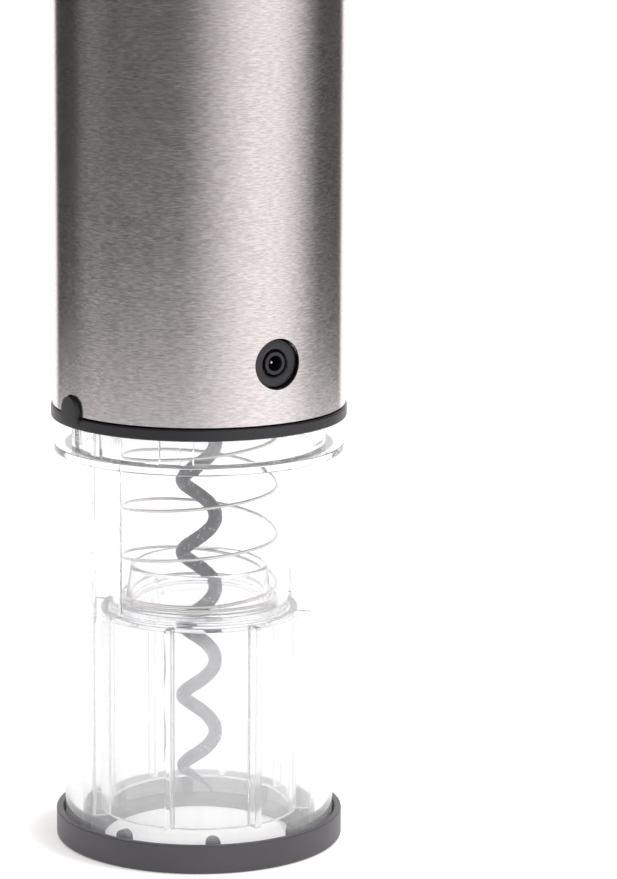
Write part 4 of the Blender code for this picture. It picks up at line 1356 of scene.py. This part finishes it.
@dataclass
class Controls:
    """The switch panel with its two buttons, their arrows and the indicator lens."""

    button_gap: float = 0.3 * MM
    button_edge: float = 0.4 * MM
    dish: float = 0.25 * MM
    flange: float = 0.7 * MM
    lens_radius: float = 1.5 * MM
    dome: float = 0.4 * MM
    arrow_radius: float = 2.3 * MM
    arrow_depth: float = 0.25 * MM
    panel: tuple[Vector, Vector] = field(default_factory=lambda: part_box("switch_panel"))
    lens: tuple[Vector, Vector] = field(default_factory=lambda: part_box("indicator_lens"))

    def __post_init__(self) -> None:
        """Works out the heights and radii that several pieces share."""
        self.middle = (self.panel[0].z + self.panel[1].z) / 2
        self.face = -self.panel[0].y
        self.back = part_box("steel_sleeve")[1].x - SLEEVE_WALL

    def button_box(self, way: Way) -> tuple[Vector, Vector]:
        """The CAD box of a button."""
        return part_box(f"{way.name.lower()}_button")

    def cutters(self, near: float, far: float) -> list[Shape]:
        """Shapes for the two button holes and the indicator's.

        Args:
            near: The distance from the axis where they start.
            far: The distance where they end.

        Returns:
            The three shapes.
        """
        holes = []
        for way in Way:
            low, high = self.button_box(way)
            radius = (high.x - low.x) / 2 - self.flange + self.button_gap
            holes.append(rod(radius, far - near, (0, -(near + far) / 2, (low.z + high.z) / 2), 64))
        lens = rod(self.lens_radius + GAP, far - near, (0, -(near + far) / 2, self.middle))
        return holes + [lens]

    def build_panel(self) -> Piece:
        """The stadium-shaped panel, curved like the body and pierced for the controls.

        Returns:
            The finished piece.
        """
        low, high = self.panel
        near, far = self.back - 3 * MM, self.face + MM
        top, bottom = high.z + MM, low.z - MM
        ring = [(self.face, top), (self.face, bottom), (self.back, bottom), (self.back, top)]
        obj = as_object("control_panel", turn(ring, FINE_STEPS))
        obj = combine(obj, Work.KEEP_SHARED, stadium(high.x - low.x, high.z - low.z, self.middle, near, far))
        obj = combine(obj, Work.CUT, *self.cutters(near, far))
        return shade_round(soften(obj, 0.18 * MM, 3))

    def arrow(self, way: Way, radius: float, depth: float, face: float, height: float) -> Shape:
        """A triangular prism in the face of a button, pointing the way that the button drives the worm.

        Args:
            way: The button.
            radius: The distance from its middle to its corners.
            depth: Its thickness.
            face: The distance of its middle from the axis.
            height: The height of its middle.

        Returns:
            The closed shape.
        """
        shape = bmesh.new()
        spin = Matrix.Rotation(0.0 if way is Way.UP else math.pi, 4, "Z")
        bmesh.ops.create_cone(
            shape, cap_ends=True, segments=3, radius1=radius, radius2=radius, depth=depth, matrix=spin
        )
        upright = [edge for edge in shape.edges if abs(edge.verts[0].co.z - edge.verts[1].co.z) > depth / 2]
        bmesh.ops.bevel(
            shape, geom=upright, offset=radius / 6, affect="EDGES", segments=4, profile=0.5, material=-1
        )
        lay = Matrix.Translation((0, -face, height)) @ Matrix.Rotation(math.pi / 2, 4, "X")
        bmesh.ops.transform(shape, matrix=lay, verts=shape.verts[:])
        return shape

    def build_button(self, way: Way) -> Piece:
        """A round button with a shallow dish, a retaining flange and a sunk arrow.

        Args:
            way: The button.

        Returns:
            The finished piece.
        """
        low, high = self.button_box(way)
        height = (low.z + high.z) / 2
        outer = (high.x - low.x) / 2
        radius = outer - self.flange
        face, back = -low.y, -high.y
        front = back + self.flange
        rim = radius - 2 * self.button_edge
        dished = [(rim * share, face - self.dish * (1 - share**2)) for share in (0.0, 0.25, 0.5, 0.75)]
        profile = dished + [
            (rim, face),
            (radius - self.button_edge, face),
            (radius, face - self.button_edge),
            (radius, front),
            (outer, front),
            (outer, back),
            (0, back),
        ]
        shape = facing(round_edges(turn(profile, MEDIUM_STEPS, solid=True), 0.12 * MM), Side.FRONT, height)
        obj = as_object(f"{way.name.lower()}_key", shape)
        sunk = self.arrow(way, self.arrow_radius, 4 * self.arrow_depth, face, height)
        return combine(obj, Work.CUT, sunk)

    def build_arrow(self, way: Way) -> Piece:
        """The pale inlay in a button's arrow.

        Args:
            way: The button.

        Returns:
            The finished piece.
        """
        low, high = self.button_box(way)
        face = -low.y - 2 * self.arrow_depth
        shape = self.arrow(way, self.arrow_radius - 0.1 * MM, 0.3 * MM, face, (low.z + high.z) / 2)
        return as_object(f"{way.name.lower()}_arrow", shape)

    def build_lens(self) -> Piece:
        """The indicator's lens, domed at its face.

        Returns:
            The finished piece.
        """
        low, high = self.lens
        face, back = -low.y, -high.y
        outer = (high.x - low.x) / 2
        rim = face - self.dome
        dome = [(self.lens_radius * math.sin(a), rim + self.dome * math.cos(a)) for a in (0.0, 0.5, 0.9, 1.2)]
        profile = dome + [
            (self.lens_radius, rim),
            (self.lens_radius, back + self.flange),
            (outer, back + self.flange),
            (outer, back),
            (0, back),
        ]
        shape = facing(turn(profile, SMALL_STEPS, solid=True), Side.FRONT, self.middle)
        return as_object("indicator_window", shape)

    def make(self) -> None:
        """Builds and dresses the pieces."""
        dress(self.build_panel(), "black_plastic", "body", "switch_panel")
        for way in Way:
            name = way.name.lower()
            dress(self.build_button(way), "black_plastic", f"button_{name}", f"{name}_button")
            dress(self.build_arrow(way), "white_plastic", f"button_{name}")
        dress(self.build_lens(), "clear_plastic", "body", "indicator_lens")


@dataclass
class Jack:
    """The charging jack at the back: its bezel, its barrel and its pin."""

    nose_radius: float = 1.95 * MM
    hole_radius: float = 1.3 * MM
    hole_depth: float = 7.5 * MM
    bezel: tuple[Vector, Vector] = field(default_factory=lambda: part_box("jack_bezel"))
    barrel: tuple[Vector, Vector] = field(default_factory=lambda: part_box("dc_jack"))
    pin: tuple[Vector, Vector] = field(default_factory=lambda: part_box("jack_pin"))

    def __post_init__(self) -> None:
        """Works out the height that the pieces share."""
        self.height = (self.bezel[0].z + self.bezel[1].z) / 2

    def build_bezel(self) -> Piece:
        """The disc round the jack, with a chamfer down to the hole.

        Returns:
            The finished piece.
        """
        low, high = self.bezel
        radius, bore = high.x, self.nose_radius + GAP
        profile = [
            (radius, high.y),
            (radius, low.y),
            (bore, low.y),
            (bore, high.y - GAP),
            (bore + GAP, high.y),
        ]
        shape = facing(round_edges(turn(profile, MEDIUM_STEPS), 0.15 * MM), Side.BACK, self.height)
        return as_object("socket_bezel", shape)

    def build_barrel(self) -> Piece:
        """The jack's block with its round nose and the socket bored into it.

        Returns:
            The finished piece.
        """
        low, high = self.barrel
        shoulder = min(high.y - 3 * MM, self.bezel[0].y - GAP)
        obj = as_object("socket_barrel", block(low, (high.x, shoulder, high.z), 0.3 * MM))
        start = (low.y + shoulder) / 2
        nose = rod(self.nose_radius, high.y - start, (0, (start + high.y) / 2, self.height), 72)
        obj = combine(obj, Work.JOIN, round_edges(nose, 0.15 * MM))
        floor = high.y - self.hole_depth
        mouth = high.y + MM
        bore = rod(self.hole_radius, mouth - floor, (0, (floor + mouth) / 2, self.height), 72)
        return soften(combine(obj, Work.CUT, bore), 0.08 * MM)

    def build_pin(self) -> Piece:
        """The round-nosed centre pin.

        Returns:
            The finished piece.
        """
        low, high = self.pin
        radius = high.x
        nose = [(radius * math.sin(a), high.y - radius * (1 - math.cos(a))) for a in (0.0, 0.5, 1.0)]
        profile = nose + [(radius, high.y - radius), (radius, low.y), (0, low.y)]
        shape = facing(turn(profile, SMALL_STEPS, solid=True), Side.BACK, self.height)
        return as_object("socket_pin", shape)

    def make(self) -> None:
        """Builds and dresses the pieces."""
        dress(self.build_bezel(), "black_plastic", "body", "jack_bezel")
        dress(self.build_barrel(), "black_plastic", "body", "dc_jack")
        dress(self.build_pin(), "switch_metal", "body", "jack_pin")


@dataclass
class TopCap:
    """The black cap with a rounded edge and a plug down into the chassis."""

    rounding: float = 3.2 * MM
    dome: float = 0.8 * MM
    wall: float = 2.2 * MM
    plug_radius: float = 22.4 * MM
    cap: tuple[Vector, Vector] = field(default_factory=lambda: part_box("top_cap"))

    def build(self) -> Piece:
        """The turned cap.

        Returns:
            The finished piece.
        """
        low, high = self.cap
        radius = high.x
        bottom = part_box("steel_sleeve")[1].z + GAP
        shoulder = high.z - self.dome
        shares = (0.0, 0.15, 0.3, 0.45, 0.6, 0.75)
        profile = [(radius * share, high.z - self.dome * 0.85 * share**2) for share in shares]
        steps = 10
        for step in range(steps + 1):
            angle = math.pi / 2 * (1 - step / steps)
            across = radius - self.rounding + self.rounding * math.cos(angle)
            profile.append((across, shoulder - self.rounding + self.rounding * math.sin(angle)))
        profile += [
            (radius, bottom),
            (self.plug_radius, bottom),
            (self.plug_radius, low.z),
            (self.plug_radius - self.wall, low.z),
            (self.plug_radius - self.wall, shoulder - self.wall),
            (0, shoulder - self.wall),
        ]
        return as_object("end_cap", round_edges(turn(profile, 160, solid=True), 0.2 * MM, 3, 60))

    def make(self) -> None:
        """Builds and dresses the cap."""
        dress(self.build(), "black_plastic", "body", "top_cap")


@dataclass
class Innards:
    """The CAD nodes inside the body that keep their own shape and get a better finish."""

    finishes: dict[str, tuple[str, ...]] = field(
        default_factory=lambda: {
            "black_plastic": (
                "chassis_front",
                "chassis_rear",
                "motor_end_cap",
                "battery_plate_bottom",
                "battery_plate_top",
            ),
            "zinc": (
                "gearbox_cover",
                "motor_plate",
                *(f"gearbox_screw_{index}" for index in (1, 2, 3)),
                *(f"chassis_screw_{index}" for index in (1, 2, 3, 4)),
            ),
            "sintered_steel": ("output_carrier", "first_carrier"),
            "brass": ("output_bushing", "motor_pinion"),
            "white_plastic": (
                "gearbox_housing",
                "charge_led",
                *(f"{stage}_planet_{index}" for stage in ("first", "second") for index in (1, 2, 3)),
            ),
            "motor_steel": ("motor_can", "motor_shaft"),
            "cell_wrap": tuple(f"battery_{index}" for index in (1, 2, 3, 4)),
            "board": ("circuit_board",),
            "switch_metal": ("up_switch", "down_switch"),
        }
    )

    def make(self) -> None:
        """Assigns the finishes, and stops if a shown node has none."""
        for name, nodes in self.finishes.items():
            for node in nodes:
                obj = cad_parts[node]
                for material_slot in obj.material_slots:
                    material_slot.material = finish(name)
                LOG.info("%s: %s", node, name)
        dressed = {node for nodes in self.finishes.values() for node in nodes}
        left = [name for name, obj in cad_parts.items() if not obj.hide_render and name not in dressed]
        if left:
            raise ValueError(f"these nodes have no finish: {left}")


# ---------------------------------------------------------------------------------------------
# Studio
# ---------------------------------------------------------------------------------------------


@dataclass(frozen=True)
class Panel:
    """A stretch of the studio's wall, between two azimuths from the camera, that what shines sees."""

    name: str
    start: float
    end: float
    brightness: float


@dataclass
class Studio:
    """The camera, the pale floor and the soft light round it."""

    azimuth: float = 148.3
    distance: float = 637.2 * MM
    height: float = 197.6 * MM
    pitch: float = 11.68
    lens: float = 155.4
    shift: tuple[float, float] = (0.1247, 0.0262)
    floor_radius: float = 0.40
    floor_colour: Colour = (0.8, 0.785, 0.775)
    floor_glow: float = 0.26
    key_azimuth: float = 75
    key_distance: float = 0.7
    key_height: float = 0.75
    key_size: float = 0.5
    key_power: float = 6.0
    walls: Colour = (1.05, 1.05, 1.05)
    warmth: Colour = (1.0, 0.965, 0.955)
    panels: tuple[Panel, ...] = (
        Panel("backdrop on the left", -180, -150, 1.45),
        Panel("dark flag on the left", -143, -115, 0.05),
        Panel("slim strip light", -96, -84, 0.18),
        Panel("dim wall", -70, -20, 0.12),
        Panel("large softbox", 50, 60, 1.2),
        Panel("dark flag on the right", 110, 143, 0.1),
        Panel("backdrop on the right", 150, 180, 1.45),
    )

    def make_camera(self) -> None:
        """A long lens from behind and to the right, a little above the cover."""
        data = bpy.data.cameras.new("camera")
        data.lens = self.lens
        data.sensor_width = 36
        data.shift_x, data.shift_y = self.shift
        data.clip_start, data.clip_end = 0.01, 20
        camera = bpy.data.objects.new("camera", data)
        x, y = polar(self.azimuth, self.distance)
        camera.location = (x, y, self.height)
        level, down = math.cos(math.radians(self.pitch)), math.sin(math.radians(self.pitch))
        look = Vector((-x / self.distance * level, -y / self.distance * level, -down))
        camera.rotation_mode = "QUATERNION"
        camera.rotation_quaternion = look.to_track_quat("-Z", "Y")
        bpy.context.scene.collection.objects.link(camera)
        bpy.context.scene.camera = camera

    def make_floor(self) -> None:
        """A round white table that glows a little, so that its shadows stay soft."""
        shape = bmesh.new()
        under = Matrix.Translation((0, 0, -0.02 * MM))
        bmesh.ops.create_circle(shape, cap_ends=True, segments=96, radius=self.floor_radius, matrix=under)
        floor = as_object("table", shape)
        graph = Graph("white_table")
        graph.set(Roughness=1.0, Emission_Strength=self.floor_glow)
        graph.shader.inputs["Specular IOR Level"].default_value = 0.0
        graph.shader.inputs["Base Color"].default_value = (*self.floor_colour, 1)
        graph.shader.inputs["Emission Color"].default_value = (1, 1, 1, 1)
        floor.data.materials.append(graph.material)

    def make_world(self) -> None:
        """White walls all round. What shines sees the panels instead, with soft edges between them."""
        world = bpy.data.worlds.new("studio")
        bpy.context.scene.world = world
        world.use_nodes = True
        nodes = Nodes(world.node_tree)
        turned = nodes.add("ShaderNodeVectorRotate", rotation_type="Z_AXIS")
        turned.inputs["Angle"].default_value = -math.radians(self.azimuth)
        nodes.link(nodes.add("ShaderNodeTexCoord").outputs["Generated"], turned.inputs["Vector"])
        x, y, _ = nodes.split(turned.outputs["Vector"])
        angle = nodes.maths("ARCTAN2", x, nodes.maths("MULTIPLY", y, -1))
        around = nodes.spread(angle, 0, 1, -math.pi, math.pi)
        stops = [
            (edge / 360 + 0.5, shaded(self.warmth, panel.brightness, most=2.0))
            for panel in self.panels
            for edge in (panel.start, panel.end)
        ]
        path = nodes.add("ShaderNodeLightPath")
        outside = nodes.maths("LESS_THAN", path.outputs["Transmission Depth"], 0.5)
        shines = nodes.maths("MULTIPLY", path.outputs["Is Glossy Ray"], outside)
        colour = nodes.mixed(shines, self.walls, nodes.tint(around, stops, ease=True))
        nodes.link(colour, world.node_tree.nodes["Background"].inputs["Color"])

    def make_lights(self) -> None:
        """A soft key high on the camera's right, for shadows and form only."""
        data = bpy.data.lights.new("soft_key", "AREA")
        data.shape = "DISK"
        data.size = self.key_size
        data.energy = self.key_power
        light = bpy.data.objects.new("soft_key", data)
        light.location = (*polar(self.azimuth + self.key_azimuth, self.key_distance), self.key_height)
        light.rotation_mode = "QUATERNION"
        light.rotation_quaternion = (Vector((0, 0, 0.05)) - light.location).to_track_quat("-Z", "Y")
        light.visible_glossy = False
        light.visible_camera = False
        light.visible_transmission = False
        bpy.context.scene.collection.objects.link(light)

    def make(self) -> None:
        """Sets up the whole studio."""
        self.make_camera()
        self.make_floor()
        self.make_world()
        self.make_lights()
        scene = bpy.context.scene
        scene.view_settings.view_transform = "Standard"
        scene.view_settings.look = "None"
        scene.cycles.max_bounces = 80
        scene.cycles.transmission_bounces = 80
        scene.cycles.transparent_max_bounces = 40
        scene.cycles.glossy_bounces = 48


def main() -> None:
    """Builds the sub-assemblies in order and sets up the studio."""
    logging.basicConfig(level=logging.INFO, format="%(name)s: %(message)s")
    for kind in (Handle, ClearCover, CorkGuide, WormDrive, Controls, Jack, TopCap, Innards):
        LOG.info("-- %s", kind.__name__)
        kind().make()
    Studio().make()


if __name__ == "__main__":
    main()
